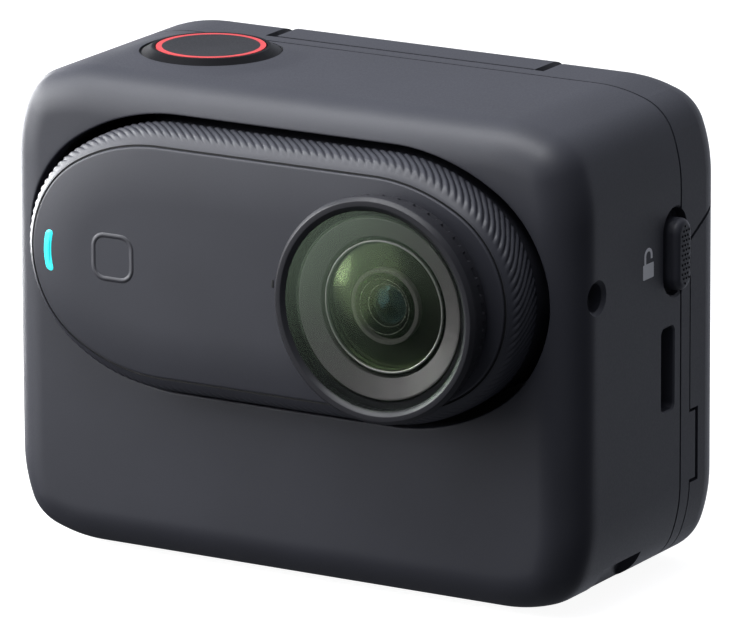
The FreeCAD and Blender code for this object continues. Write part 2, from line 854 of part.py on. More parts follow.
screen_slope = [(depth, height - dim.screen_gap) for depth, height in shoulder_slope]
arm_back = dim.hinge_depth + (dim.pod_height - dim.hinge_height)
arm_front = dim.frame_back + 0.4
lcd_depth = 12.1
glass_back = dim.pod_back
glass_front = glass_back - dim.glass_thickness
glass_outline = moved(soft_rectangle(dim.glass_width / 2, dim.glass_height / 2, 6), 0, dim.glass_middle)
screen_screw_places = [(across, 10.3) for across in (-10, 10)]


def screen_frame():
    side = [(dim.screen_front, -over), (dim.pod_back + 0.01, -over), screen_slope[2], screen_slope[1],
            (dim.screen_front, dim.shoulder_low - dim.screen_gap + 0.1)]
    region = prism("screen_region", "side", [side], -half_width - over, half_width + over)
    form = common("screen_form", rear_form("screen_outline"), region)
    tools = [
        prism("glass_recess", "front", [glass_outline], glass_front, glass_back + over),
        block("lcd_room", (-26, 26), (lcd_depth - 0.1, glass_front), (5.0, 33.8)),
        block("board_room", (-26, 26), (9.0, lcd_depth), (4.4, 31.6)),
        block("nail_notch", (half_width - 1.9, half_width + over), (dim.screen_front - over, 9.35),
              (tab_height[0] - 0.35, tab_height[1] + 0.3)),
    ]
    tools += [rod(f"screen_screw_hole_{n}", "z", place, 0.8, 30, 36)
              for n, place in enumerate(screen_screw_places)]
    return cut("screen_frame", form, tools)


def hinge_arm():
    """The wide arm that carries the screen. Its back edge is round about the hinge's axis."""
    start = dim.shoulder_low - dim.screen_gap
    rise = (dim.shoulder_bend - dim.shoulder_low) / (dim.shoulder_bend_depth - dim.frame_back)
    radius = dim.pod_height - dim.hinge_height
    back_rise = (dim.shoulder_high - dim.shoulder_bend) / (dim.pod_back - dim.shoulder_bend_depth)
    side = [
        (arm_front, start + rise * (arm_front - dim.frame_back)),
        screen_slope[1],
        (arm_back, screen_slope[1][1] + back_rise * (arm_back - dim.shoulder_bend_depth)),
        (arm_back, dim.hinge_height, radius),
        (dim.hinge_depth, dim.pod_height),
        (arm_front, dim.pod_height),
    ]
    form = prism("arm_form", "side", [side], -dim.arm_half_width, dim.arm_half_width)
    tools = [rod("arm_bore", "x", hinge_line, dim.pin_radius + 0.05, -16, 16)]
    tools += [rod(f"arm_screw_hole_{n}", "z", place, 0.8, 30, 38)
              for n, place in enumerate(screen_screw_places)]
    return cut("hinge_arm", form, tools)


def screen_glass():
    return prism("screen_glass", "front", [glass_outline], glass_front, glass_back)


def lcd_panel():
    return block("lcd_panel", (-25.6, 25.6), (lcd_depth, glass_front), (5.2, 33.6))


def screen_board():
    return block("screen_board", (-24.5, 24.5), (10.2, 11.0), (5, 30))


def screen_magnets():
    return together("screen_magnets", [rod(f"screen_magnet_{n}", "y", place, catch_radius, 9.0, 10.1)
                                       for n, place in enumerate(catch_places)])


def screen_screws():
    screws = []
    for n, place in enumerate(screen_screw_places):
        screws.append(rod(f"screen_shank_{n}", "z", place, 0.8, 31.6, 37))
        screws.append(rod(f"screen_head_{n}", "z", place, 1.2, 31.1, 31.6))
    return together("screen_screws", screws)


# ---------------------------------------------------------------------------------------------
# Camera

lens = (dim.lens_across, dim.lens_middle)
face_outline = moved(pill(dim.face_length / 2, dim.face_height / 2), 0, dim.bay_middle)
rim = 1.0
pad_radius = 1.0
light_across = (dim.light_left, dim.light_left + dim.light_width)
light_up = (dim.light_low, dim.light_low + dim.light_height)


def camera_case():
    """The camera's tub: its flanks round over to the face, and its back is closed."""
    outline = moved(pill(dim.case_length / 2, dim.case_height / 2), 0, dim.bay_middle)
    form = prism("case_form", "front", [outline], dim.case_flare, dim.case_back)
    round_edges(form, 1.2, edge_at_depth(dim.case_back.number))
    shoulder = moved(pill(dim.shoulder_length / 2, dim.shoulder_height / 2), 0, dim.bay_middle)
    flank = doc.addObject("PartDesign::Body", "case_flank")
    wide = draw(flank, "front", [outline], dim.case_flare)
    middle = draw(flank, "front", [shoulder], dim.case_shoulder)
    narrow = draw(flank, "front", [face_outline], dim.case_front)
    loft = flank.newObject("PartDesign::AdditiveLoft", "case_flank_loft")
    loft.Profile = wide
    loft.Sections = [middle, narrow]
    loft.Ruled = True
    doc.recompute()
    inside = moved(pill(dim.face_length / 2 - rim, dim.face_height / 2 - rim), 0, dim.bay_middle)
    floor = dim.case_back - dim.case_wall
    tools = [
        prism("case_inside", "front", [inside], dim.case_front - over, floor),
        block("case_hook_slot", hook_slot_across, (floor - over, dim.case_back + over), hook_slot_height),
        pin_group("case_contact_holes", pad_radius, (floor, dim.case_back)),
    ]
    return cut("camera_case", together("case_outside", [form, flank]), tools)


def face_gasket():
    """The thin dark line between the ribbed tub and the face."""
    set_back = 0.15
    outer = moved(pill(dim.face_length / 2 - set_back, dim.face_height / 2 - set_back), 0, dim.bay_middle)
    inner = moved(pill(dim.face_length / 2 - rim, dim.face_height / 2 - rim), 0, dim.bay_middle)
    gasket = prism("face_gasket", "front", [outer], dim.face_back, dim.case_front)
    pocket_prism(gasket, "front", [inner], dim.face_back, dim.case_front)
    return gasket


def camera_face():
    body = prism("face_form", "front", [face_outline], dim.face_front, dim.face_back)
    round_edges(body, dim.face_round, edge_at_depth(dim.face_front.number))
    tools = [
        rod("face_lens_hole", "y", lens, dim.mount_radius, dim.face_front - over, dim.face_back + over),
        block("face_light_slot", light_across, (dim.face_front - over, dim.light_back), light_up),
    ]
    return cut("camera_face", body, tools)


def status_light():
    """The bar of the light guide, just below the face."""
    return block("status_light", light_across, (dim.face_front + 0.05, dim.light_back), light_up)


def segment_ring(label, inner, outer, low, high, count, share, turn):
    """Part of a ring about the lens: evenly spaced lugs, each a share of the round."""
    lugs = []
    for n in range(count):
        sector = doc.addObject("Part::Cylinder", f"{label}_sector_{n}")
        bind(sector, "Radius", outer)
        bind(sector, "Height", high - low)
        bind(sector, "Angle", 360 * share)
        spin = FreeCAD.Rotation(FreeCAD.Vector(0, 1, 0), turn + 360 * n / count)
        sector.Placement.Rotation = spin.multiply(ROD_TURNS["y"])
        bind(sector, "Placement.Base.x", dim.lens_across)
        bind(sector, "Placement.Base.y", low)
        bind(sector, "Placement.Base.z", dim.lens_middle)
        lugs.append(sector)
    bore = rod(f"{label}_bore", "y", lens, inner, low - over, high + over)
    return cut(label, together(f"{label}_sectors", lugs), [bore])


LUG_COUNT = 3
LUG_SHARE = 0.07
LUG_OVERLAP = 0.1
GUARD_TURN = 40
GUARD_LUG_BORE = 9.5
GUARD_LUG_FRONT = -19.95
MOUNT_LUG_RADIUS = 9.85
MOUNT_LUG_BACK = -20.05


def guard_mount():
    """The flange round the lens, with the three lugs that the guard's own lugs pass."""
    flange = rod("mount_outside", "y", lens, dim.mount_radius, dim.mount_front, dim.mount_back)
    bore = rod("mount_inside", "y", lens, dim.mount_bore, dim.mount_front - over, dim.mount_back + over)
    lugs = segment_ring("mount_lugs", dim.mount_radius - LUG_OVERLAP, MOUNT_LUG_RADIUS, dim.mount_front,
                        MOUNT_LUG_BACK, LUG_COUNT, LUG_SHARE, 0)
    return together("guard_mount", [cut("mount_flange", flange, [bore]), lugs])


def lens_hood():
    """The shallow funnel between the flange and the front element."""
    hood_front, hood_back, floor = -21.4, -19.0, -20.6
    inner = 6.85
    return turned("lens_hood", "y", [
        (hood_front, dim.mount_bore - 0.05), (hood_front, dim.mount_bore - 0.2), (floor, inner),
        (hood_back, inner), (hood_back, dim.mount_bore - 0.05),
    ], lens)


def lens_barrel():
    """The tube that holds the elements, with its thin bright lip and its flange on the mount."""
    lip, bore, flange, tube, rear_bore = 6.45, 6.25, 8.6, 7.2, 4.4
    return turned("lens_barrel", "y", [
        (-20.5, bore), (-20.5, lip), (-19.0, lip), (-19.0, flange), (-17.6, flange), (-17.6, tube),
        (-4.6, tube), (-4.6, rear_bore), (-14.0, rear_bore), (-14.0, bore),
    ], lens)


def ball(label, radius, apex):
    """A sphere on the lens's axis, whose front is at the apex."""
    sphere = doc.addObject("Part::Sphere", label)
    bind(sphere, "Radius", radius)
    bind(sphere, "Placement.Base.x", dim.lens_across)
    bind(sphere, "Placement.Base.y", apex + radius)
    bind(sphere, "Placement.Base.z", dim.lens_middle)
    return sphere


def lens_element(label, radius, half_width, apex, back):
    """A lens with a domed front and a flat back, ground to a cylinder at its edge."""
    edge = rod(f"{label}_edge", "y", lens, half_width, apex - over, back)
    return common(label, ball(f"{label}_dome", radius, apex), edge)


front_half_width, rear_half_width = 6.2, 4.3


def front_element():
    """The wide front lens, a meniscus with a hollow back."""
    dome = lens_element("front_element_dome", 20.5, front_half_width, -21.15, -16.4)
    return cut("front_element", dome, [ball("front_element_hollow", 5.9, -19.3)])


def iris_ring():
    return turned("iris_ring", "y", [
        (-16.3, 3.2), (-16.3, front_half_width), (-15.4, front_half_width), (-15.4, 2.4),
    ], lens)


def rear_elements():
    """Two smaller elements behind the iris."""
    first = lens_element("second_element", 9, rear_half_width, -15.2, -13.4)
    second = lens_element("third_element", 9, rear_half_width, -11.2, -8.2)
    return together("rear_elements", [first, second])


def image_sensor():
    return block("image_sensor", (dim.lens_across - 4, dim.lens_across + 4), (-4.4, -3.6),
                 (dim.lens_middle - 3.2, dim.lens_middle + 3.2))


def camera_board():
    board = [block("sensor_plate", (dim.lens_across - 7, dim.lens_across + 7), (-3.6, -3.0),
                   (dim.lens_middle - 6, dim.lens_middle + 6)),
             block("logic_plate", (-21, 20), (-1.8, -1.0), (dim.bay_middle - 7, dim.bay_middle + 7))]
    return together("camera_board", board)


def camera_battery():
    return block("camera_battery", (-19, 4), (-16.5, -4), (dim.bay_middle - 8, dim.bay_middle + 8))


def camera_contacts():
    return pin_group("camera_contacts", pad_radius, (dim.case_back - dim.case_wall, dim.case_back))


def camera_magnets():
    floor = dim.case_back - dim.case_wall
    return together("camera_magnets", [
        rod(f"camera_magnet_{n}", "y", (across, dim.bay_middle), magnet_radius, 0.3, floor)
        for n, across in enumerate(magnet_places)])


# ---------------------------------------------------------------------------------------------
# Lens guard

def guard_seal():
    """The soft ring behind the guard's ledge, which closes on the mount's front."""
    seal_front = dim.ledge_back + 0.1
    seal_back = seal_front + 0.25
    seal_radius = dim.ledge_bore + 0.45
    return turned("guard_seal", "y", [
        (seal_front, dim.ledge_bore), (seal_front, seal_radius), (seal_back, seal_radius),
        (seal_back, dim.ledge_bore),
    ], lens)


def guard_ring():
    """The guard's ring: a bevelled lip, a wall that narrows to a groove, and its inner lugs."""
    bevel_back = dim.guard_front + dim.guard_bevel
    ring = turned("guard_body", "y", [
        (dim.guard_back, dim.guard_bore), (dim.guard_back, dim.guard_foot),
        (dim.guard_groove, dim.guard_foot), (dim.guard_groove, dim.guard_wall),
        (bevel_back, dim.guard_radius), (dim.guard_front, dim.guard_lip),
        (dim.guard_front, dim.guard_lip_bore), (bevel_back, dim.glass_radius),
        (dim.ledge_front, dim.glass_radius), (dim.ledge_front, dim.ledge_bore),
        (dim.ledge_back, dim.ledge_bore), (dim.ledge_back, dim.guard_bore),
    ], lens)
    lugs = segment_ring("guard_lugs", GUARD_LUG_BORE, dim.guard_bore + LUG_OVERLAP, GUARD_LUG_FRONT,
                        dim.guard_back, LUG_COUNT, LUG_SHARE, GUARD_TURN)
    return together("guard_ring", [ring, lugs])


def guard_glass():
    return rod("guard_glass", "y", lens, dim.glass_radius, dim.glass_front, dim.ledge_front)


# ---------------------------------------------------------------------------------------------

PIECES = [
    front_shell, rear_frame, bay_liner, seam_gasket, main_board, processor_shield, heat_spreader,
    wifi_antenna, pod_battery, speaker, speaker_mesh, contact_block, contact_pins, bay_magnets,
    usb_socket, side_switches, shutter_switch, shutter_bezel, hinge_brackets, hinge_pins,
    hinge_washers, mount_magnets, case_screws, catch_magnets, shutter_cap, shutter_ring, usb_door,
    usb_door_pin, lock_slider, lock_hook, screen_frame, hinge_arm, screen_glass, lcd_panel,
    screen_board, screen_magnets, screen_screws, camera_case, face_gasket, camera_face, status_light,
    guard_mount, lens_hood, lens_barrel, front_element, iris_ring, rear_elements, image_sensor,
    camera_board, camera_battery, camera_contacts, camera_magnets, guard_seal, guard_ring,
    guard_glass,
]

made = {piece.__name__: piece() for piece in PIECES}
made.update({name: side_button(name) for name in button_heights})
doc.recompute()

for item in doc.Objects:
    if "Invalid" in item.State or "Error" in item.State:
        raise RuntimeError(f"{item.Name} failed: {item.State}")
for label, item in made.items():
    item.Label = label
    if item.Shape.isNull() or not item.Shape.isValid() or not item.Shape.Solids:
        raise RuntimeError(f"{label} has no valid solid")
for label, item in made.items():
    item.Shape.exportStep(f"parts/{label}.step")
    box = item.Shape.BoundBox
    print(f"{label:18} {len(item.Shape.Solids)} {item.Shape.Volume:9.1f}  "
          f"X {box.XMin:7.2f} {box.XMax:7.2f}  Y {box.YMin:7.2f} {box.YMax:7.2f}  "
          f"Z {box.ZMin:7.2f} {box.ZMax:7.2f}")
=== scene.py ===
import json
import math

import bmesh
import bpy
import numpy as np
from mathutils import Matrix, Vector
from mathutils.kdtree import KDTree


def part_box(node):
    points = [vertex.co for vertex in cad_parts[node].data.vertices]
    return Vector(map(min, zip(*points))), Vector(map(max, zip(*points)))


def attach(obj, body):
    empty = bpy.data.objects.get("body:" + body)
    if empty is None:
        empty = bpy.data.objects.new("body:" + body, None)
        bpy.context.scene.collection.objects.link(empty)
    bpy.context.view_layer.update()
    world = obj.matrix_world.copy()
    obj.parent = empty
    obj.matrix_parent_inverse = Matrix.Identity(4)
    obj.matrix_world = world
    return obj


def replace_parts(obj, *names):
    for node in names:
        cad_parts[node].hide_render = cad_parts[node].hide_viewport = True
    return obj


# Looks for a pocket action camera: a ribbed pill-shaped camera in a matt charcoal pod.
# Lengths in this script are millimetres until mesh_from() turns them into Blender's metres.

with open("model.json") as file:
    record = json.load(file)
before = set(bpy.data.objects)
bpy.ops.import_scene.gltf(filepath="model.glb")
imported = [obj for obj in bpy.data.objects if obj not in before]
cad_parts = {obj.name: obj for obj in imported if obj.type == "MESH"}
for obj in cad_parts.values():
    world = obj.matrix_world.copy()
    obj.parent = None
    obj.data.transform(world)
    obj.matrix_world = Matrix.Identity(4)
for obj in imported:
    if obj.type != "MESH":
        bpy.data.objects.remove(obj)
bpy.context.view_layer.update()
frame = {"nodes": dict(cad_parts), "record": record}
MM = 0.001


# ---------------------------------------------------------------------------------------------
# Sizes, read from the frame

def box(node):
    """The low and high corners of a node's box, in millimetres."""
    low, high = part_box(node)
    return Vector(low) / MM, Vector(high) / MM


shell_low, shell_high = box("front_shell")
liner_low, liner_high = box("bay_liner")
case_low, case_high = box("camera_case")
face_low, face_high = box("camera_face")
guard_low, guard_high = box("guard_ring")
bezel_low, bezel_high = box("shutter_bezel")
slider_low, slider_high = box("lock_slider")
light_low, light_high = box("status_light")
glass_low, glass_high = box("guard_glass")

HALF_WIDTH = shell_high.x
HEIGHT = shell_high.z
MIDDLE = HEIGHT / 2
FRONT = shell_low.y
SEAM = shell_high.y
POD_CORNER = 9.2
WALL = 1.8
LINER_WALL = 0.8
BAY_MIDDLE = (liner_low.z + liner_high.z) / 2
BAY_HALF = (liner_high.x - LINER_WALL, (liner_high.z - liner_low.z) / 2 - LINER_WALL)
CASE_HALF = (case_high.x, (case_high.z - case_low.z) / 2)
FACE_HALF = (face_high.x, (face_high.z - face_low.z) / 2)
CAP_START = 11.9
END_SHARE = 0.9
LENS = Vector(((guard_low.x + guard_high.x) / 2, 0, (guard_low.z + guard_high.z) / 2))
SHUTTER = Vector(((bezel_low.x + bezel_high.x) / 2, (bezel_low.y + bezel_high.y) / 2, 0))
BEZEL_RADIUS = bezel_high.x - SHUTTER.x


# ---------------------------------------------------------------------------------------------
# Outlines in X and Z, as dense closed polylines that run anticlockwise in the front view

def walk(start, heading, moves, step=0.06):
    """Points along a path of straight runs and arcs that turn left. Angles are in degrees."""
    points = [np.array(start, float)]
    angle = math.radians(heading)
    for radius, amount in moves:
        if radius is None:
            count = max(int(amount / step), 1)
            ahead = np.array((math.cos(angle), math.sin(angle)))
            points += [points[-1] + ahead * amount / count * n for n in range(1, count + 1)]
            continue
        turn = math.radians(amount)
        count = max(int(radius * turn / step), 4)
        centre = points[-1] + radius * np.array((-math.sin(angle), math.cos(angle)))
        spin = angle + turn * np.arange(1, count + 1) / count
        points += list(centre + radius * np.stack((np.sin(spin), -np.cos(spin)), 1))
        angle += turn
    return np.array(points)


def closed_by_mirrors(quarter):
    """Mirrors the upper right quarter of an outline, right end to top, into a whole one."""
    upper = np.vstack((quarter, quarter[::-1] * (-1, 1)))
    whole = np.vstack((upper, upper[::-1] * (1, -1)))
    gaps = np.linalg.norm(whole - np.roll(whole, 1, axis=0), axis=1)
    return whole[gaps > 1e-5]


SOFT_TURN = 20
SOFT_RADIUS = 1.68


def soft_rectangle(half_across, half_up, corner, middle=MIDDLE):
    """A rectangle whose corners turn gently, then tightly, then gently, as the CAD's do."""
    angle = math.radians(SOFT_TURN)
    reach = SOFT_RADIUS * (1 + math.sin(angle) - math.cos(angle))
    tight = corner * (1 - reach) / (math.cos(angle) - math.sin(angle))
    gentle = corner * SOFT_RADIUS
    quarter = walk((half_across, 0), 90, [
        (None, half_up - corner), (gentle, SOFT_TURN), (tight, 90 - 2 * SOFT_TURN),
        (gentle, SOFT_TURN), (None, half_across - corner)])
    return closed_by_mirrors(quarter) + (0, middle)


def pill(half_length, half_up, middle=BAY_MIDDLE):
    """The camera's outline: straight long sides, and ends of two tangent arcs."""
    end = half_up * END_SHARE
    inset = half_length - CAP_START - end
    side = (inset ** 2 + half_up ** 2 - end ** 2) / (2 * (half_up - end))
    turn = math.degrees(math.atan2(side - half_up, inset))
    quarter = walk((half_length, 0), 90, [(end, turn), (side, 90 - turn), (None, CAP_START)])
    return closed_by_mirrors(quarter) + (0, middle)


def normals_of(outline):
    """Outward normals of an anticlockwise outline."""
    along = np.roll(outline, -1, axis=0) - np.roll(outline, 1, axis=0)
    along /= np.linalg.norm(along, axis=1)[:, None]
    return np.stack((along[:, 1], -along[:, 0]), 1)


def spread(outline, count):
    """The same outline with equally spaced points, and its outward normals."""
    closed = np.vstack((outline, outline[:1]))
    lengths = np.concatenate(((0,), np.cumsum(np.linalg.norm(np.diff(closed, axis=0), axis=1))))
    places = np.linspace(0, lengths[-1], count, endpoint=False)
    points = np.stack([np.interp(places, lengths, closed[:, axis]) for axis in (0, 1)], 1)
    return points, normals_of(points)


def at_angles(outline, centre, angles):
    """Where rays from the centre at these angles meet an outline that goes once round it."""
    away = outline - centre
    own = np.unwrap(np.arctan2(away[:, 1], away[:, 0]))
    reach = np.linalg.norm(away, axis=1)
    order = np.argsort(own)
    own, reach = own[order], reach[order]
    full = 2 * math.pi
    own = np.concatenate((own - full, own, own + full))
    distance = np.interp(np.mod(angles, full), own, np.tile(reach, 3))
    return centre + distance[:, None] * np.stack((np.cos(angles), np.sin(angles)), 1)


class Inset:
    """Measures how far points lie inside an outline."""

    def __init__(self, outline):
        self.outline = outline
        self.tree = KDTree(len(outline))
        for index, point in enumerate(outline):
            self.tree.insert((*point, 0), index)
        self.tree.balance()

    def __call__(self, points):
        flat = points.reshape(-1, 2)
        nearest = np.array([self.tree.find((*point, 0))[1] for point in flat])
        best = np.full(len(flat), np.inf)
        for step in (-1, 1):
            start = self.outline[nearest]
            along = self.outline[(nearest + step) % len(self.outline)] - start
            share = ((flat - start) * along).sum(1) / (along ** 2).sum(1)
            foot = start + np.clip(share, 0, 1)[:, None] * along
            best = np.minimum(best, np.linalg.norm(flat - foot, axis=1))
        return best.reshape(points.shape[:-1])


# ---------------------------------------------------------------------------------------------
# Meshes

def mesh_from(name, vertices, faces, body, material, smooth=True):
    """Makes a piece from vertices in millimetres, gives it a material and rides it on a body."""
    mesh = bpy.data.meshes.new(name)
    mesh.from_pydata((np.asarray(vertices, float) * MM).tolist(), [], [list(f) for f in faces])
    mesh.validate()
    mesh.update()
    if smooth:
        mesh.polygons.foreach_set("use_smooth", [True] * len(mesh.polygons))
    piece = bpy.data.objects.new(name, mesh)
    bpy.context.scene.collection.objects.link(piece)
    mesh.materials.append(material)
    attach(piece, body)
    return piece


def ring_faces(rings, count, closed=False, first=0):
    """Quads between successive rings of count points each."""
    rows = rings if closed else rings - 1
    faces = []
    for row in range(rows):
        here = first + row * count
        there = first + (row + 1) % rings * count
        for n in range(count):
            after = (n + 1) % count
            faces.append((here + n, here + after, there + after, there + n))
    return faces


def in_depth(points, depth):
    """Puts outline points (X, Z) at one or many depths Y."""
    depth = np.broadcast_to(depth, len(points))
    return np.stack((points[:, 0], depth, points[:, 1]), 1)


def circle(radius, centre, count=96):
    """A circle's points, anticlockwise. The radius may also differ from point to point."""
    spin = np.linspace(0, 2 * math.pi, count, endpoint=False)
    return np.stack((centre[0] + radius * np.cos(spin), centre[1] + radius * np.sin(spin)), 1)


def turned(name, profile, body, material, centre, count=192):
    """A solid of revolution about Y. The profile's points are (along, radius), and it closes."""
    rings = [in_depth(circle(radius, centre, count), along) for along, radius in profile]
    faces = ring_faces(len(rings), count, closed=True)
    return mesh_from(name, np.vstack(rings), faces, body, material)


def rounded(profile, radius, steps=5):
    """Rounds the corners of a closed profile. One radius, or one for each corner."""
    radii = [radius] * len(profile) if np.isscalar(radius) else radius
    result = []
    for index, corner in enumerate(profile):
        here = np.array(corner, float)
        before = np.array(profile[index - 1], float) - here
        after = np.array(profile[(index + 1) % len(profile)], float) - here
        reach = min(radii[index], np.linalg.norm(before) * 0.49, np.linalg.norm(after) * 0.49)
        if reach < 1e-6:
            result.append(tuple(here))
            continue
        start = here + before / np.linalg.norm(before) * reach
        end = here + after / np.linalg.norm(after) * reach
        for step in range(steps + 1):
            share = step / steps
            point = (1 - share) ** 2 * start + 2 * share * (1 - share) * here + share ** 2 * end
            result.append(tuple(point))
    return result


def sharpen(piece, degrees=32):
    """Keeps edges sharper than this angle crisp in a smooth-shaded piece."""
    limit = math.radians(degrees)
    mesh = piece.data
    angles = {}
    for polygon in mesh.polygons:
        for key in polygon.edge_keys:
            angles.setdefault(key, []).append(polygon.normal)
    for edge in mesh.edges:
        sides = angles.get(tuple(sorted(edge.vertices)), [])
        if len(sides) == 2 and sides[0].angle(sides[1], 0) > limit:
            edge.use_edge_sharp = True


# ---------------------------------------------------------------------------------------------
# Materials

NOISE_ROUGHNESS = 0.55


class Paint:
    """A new material and short ways to add nodes to it."""

    def __init__(self, name):
        self.material = bpy.data.materials.new(name)
        self.material.use_nodes = True
        self.tree = self.material.node_tree
        self.shader = self.tree.nodes["Principled BSDF"]
        self.place = self.node("ShaderNodeTexCoord").outputs["Object"]

    def node(self, kind, **settings):
        made = self.tree.nodes.new(kind)
        for key, value in settings.items():
            setattr(made, key, value)
        return made

    def link(self, source, target):
        self.tree.links.new(source, target)

    def set(self, **values):
        """Sets the shader's own sockets, with _ for a space in their names."""
        for key, value in values.items():
            self.shader.inputs[key.replace("_", " ")].default_value = value
        return self

    def noise(self, size, detail=3.0, stretch=None):
        """Noise whose features measure about this many millimetres."""
        made = self.node("ShaderNodeTexNoise")
        made.inputs["Scale"].default_value = 1 / (size * MM)
        made.inputs["Detail"].default_value = detail
        made.inputs["Roughness"].default_value = NOISE_ROUGHNESS
        place = self.place
        if stretch:
            mapping = self.node("ShaderNodeMapping")
            mapping.inputs["Scale"].default_value = stretch
            self.link(place, mapping.inputs["Vector"])
            place = mapping.outputs["Vector"]
        self.link(place, made.inputs["Vector"])
        return made.outputs["Fac"]

    def ramp(self, source, stops):
        """Colours between stops of (position, colour)."""
        made = self.node("ShaderNodeValToRGB")
        elements = made.color_ramp.elements
        while len(elements) < len(stops):
            elements.new(0.5)
        for element, (position, colour) in zip(elements, stops):
            element.position = position
            element.color = (*colour, 1)
        self.link(source, made.inputs["Fac"])
        return made.outputs["Color"]

    def levels(self, source, low, high, start=0.3, stop=0.7):
        """A value that goes from low to high while its source goes from start to stop."""
        made = self.node("ShaderNodeMapRange")
        made.inputs["From Min"].default_value = start
        made.inputs["From Max"].default_value = stop
        made.inputs["To Min"].default_value = low
        made.inputs["To Max"].default_value = high
        self.link(source, made.inputs["Value"])
        return made.outputs["Result"]

    def bump(self, source, depth):
        made = self.node("ShaderNodeBump")
        made.inputs["Strength"].default_value = 1.0
        made.inputs["Distance"].default_value = depth * MM
        self.link(source, made.inputs["Height"])
        return made.outputs["Normal"]

    def colour(self, source):
        self.link(source, self.shader.inputs["Base Color"])

    def rough(self, source):
        self.link(source, self.shader.inputs["Roughness"])

    def normal(self, source):
        self.link(source, self.shader.inputs["Normal"])


def shade(colour, amount):
    """A colour made lighter or darker."""
    return tuple(min(channel * amount, 1.0) for channel in colour)


def moulded(name, colour, roughness, grain=0.16, depth=0.006, mottle=0.06, shine=0.5):
    """Matt moulded plastic: fine spark-eroded grain, faint mottling and uneven gloss."""
    paint = Paint(name).set(Specular_IOR_Level=shine)
    fine = paint.noise(grain, detail=2.0)
    broad = paint.noise(9.0, detail=2.0)
    paint.colour(paint.ramp(broad, [(0.3, shade(colour, 1 - mottle)), (0.7, shade(colour, 1 + mottle))]))
    paint.rough(paint.levels(fine, roughness - 0.05, roughness + 0.05))
    paint.normal(paint.bump(fine, depth))
    return paint.material


def metal(name, colour, roughness, grain=0.12, depth=0.002, stretch=None):
    """Anodised, plated or brushed metal."""
    paint = Paint(name).set(Metallic=1.0)
    fine = paint.noise(grain, stretch=stretch)
    broad = paint.noise(4.0, detail=2.0)
    paint.colour(paint.ramp(broad, [(0.3, shade(colour, 0.9)), (0.7, shade(colour, 1.08))]))
    paint.rough(paint.levels(fine, roughness - 0.06, roughness + 0.08))
    paint.normal(paint.bump(fine, depth))
    return paint.material


CLEAR = (0.96, 0.955, 0.95, 1)


def coated_glass(name, tint, face_on, at_a_slant, blur=0.2):
    """Clear coated glass. Its mirrored share is tinted and soft, and grows at a slant."""
    paint = Paint(name)
    output = paint.tree.nodes["Material Output"]
    paint.tree.nodes.remove(paint.shader)
    mirror = paint.node("ShaderNodeBsdfGlossy", distribution="BECKMANN")
    mirror.inputs["Roughness"].default_value = blur
    clear = paint.node("ShaderNodeBsdfTransparent")
    clear.inputs["Color"].default_value = CLEAR
    coating = paint.noise(14.0, detail=1.0)
    paint.link(paint.ramp(coating, [(0.3, tint), (0.7, shade(tint, 0.8))]), mirror.inputs["Color"])
    facing = paint.node("ShaderNodeLayerWeight")
    facing.inputs["Blend"].default_value = 0.35
    share = paint.levels(facing.outputs["Facing"], face_on, at_a_slant, 0.0, 1.0)
    mix = paint.node("ShaderNodeMixShader")
    paint.link(share, mix.inputs[0])
    paint.link(clear.outputs[0], mix.inputs[1])
    paint.link(mirror.outputs[0], mix.inputs[2])
    paint.link(mix.outputs[0], output.inputs["Surface"])
    return paint.material


# ---------------------------------------------------------------------------------------------
# Paints, by the name of the record's material slot

CHARCOAL = (0.032, 0.033, 0.042)
DARK = (0.012, 0.012, 0.014)
BLACK = (0.005, 0.005, 0.006)

paints = {
    "shell": moulded("shell", CHARCOAL, 0.50),
    "liner": moulded("liner", BLACK, 0.55),
    "gasket": moulded("gasket", BLACK, 0.6, depth=0.004),
    "board": moulded("board", (0.012, 0.06, 0.03), 0.45, grain=0.4),
    "tin": metal("tin", (0.62, 0.62, 0.60), 0.38),
    "copper": metal("copper", (0.72, 0.36, 0.2), 0.42),
    "cell": moulded("cell", (0.10, 0.10, 0.11), 0.4),
    "speaker": moulded("speaker", DARK, 0.5),
    "mesh": metal("mesh", (0.05, 0.05, 0.055), 0.6, grain=0.3, depth=0.03),
    "gold": metal("gold", (0.85, 0.62, 0.25), 0.25),
    "magnet": metal("magnet", (0.5, 0.5, 0.52), 0.3),
    "bezel": moulded("bezel", BLACK, 0.42, shine=0.08),
    "cap": moulded("cap", (0.022, 0.022, 0.025), 0.46, shine=0.14),
    "red": moulded("red", (0.62, 0.05, 0.055), 0.45, depth=0.002),
    "steel": metal("steel", (0.45, 0.45, 0.46), 0.3, stretch=(1, 12, 12)),
    "display_glass": moulded("display_glass", (0.006, 0.006, 0.007), 0.08, depth=0.0003),
    "display": moulded("display", (0.01, 0.01, 0.012), 0.3, depth=0.001),
    "case": moulded("case", CHARCOAL, 0.46),
    "face": moulded("face", CHARCOAL, 0.48),
    "light": moulded("light", (0.05, 0.55, 0.6), 0.3, depth=0.001),
    "lens_metal": moulded("lens_metal", BLACK, 0.4, depth=0.002),
    "hood": moulded("hood", (0.175, 0.165, 0.17), 0.36, depth=0.002),
    "guard_metal": moulded("guard_metal", (0.022, 0.022, 0.026), 0.36, depth=0.003, shine=0.3),
    "lens_glass": coated_glass("lens_glass", (0.55, 0.75, 0.38), 0.04, 0.5),
    "guard_glass": coated_glass("guard_glass", (0.68, 0.90, 0.66), 0.08, 0.6),
    "sensor": moulded("sensor", (0.02, 0.03, 0.06), 0.15),
}
nodes = frame["nodes"]
for part in frame["record"]["subparts"]:
    mesh = nodes[part["node"]].data
    mesh.materials.clear()
    mesh.materials.append(paints[part["material_slot"]])


# ---------------------------------------------------------------------------------------------
# Front shell

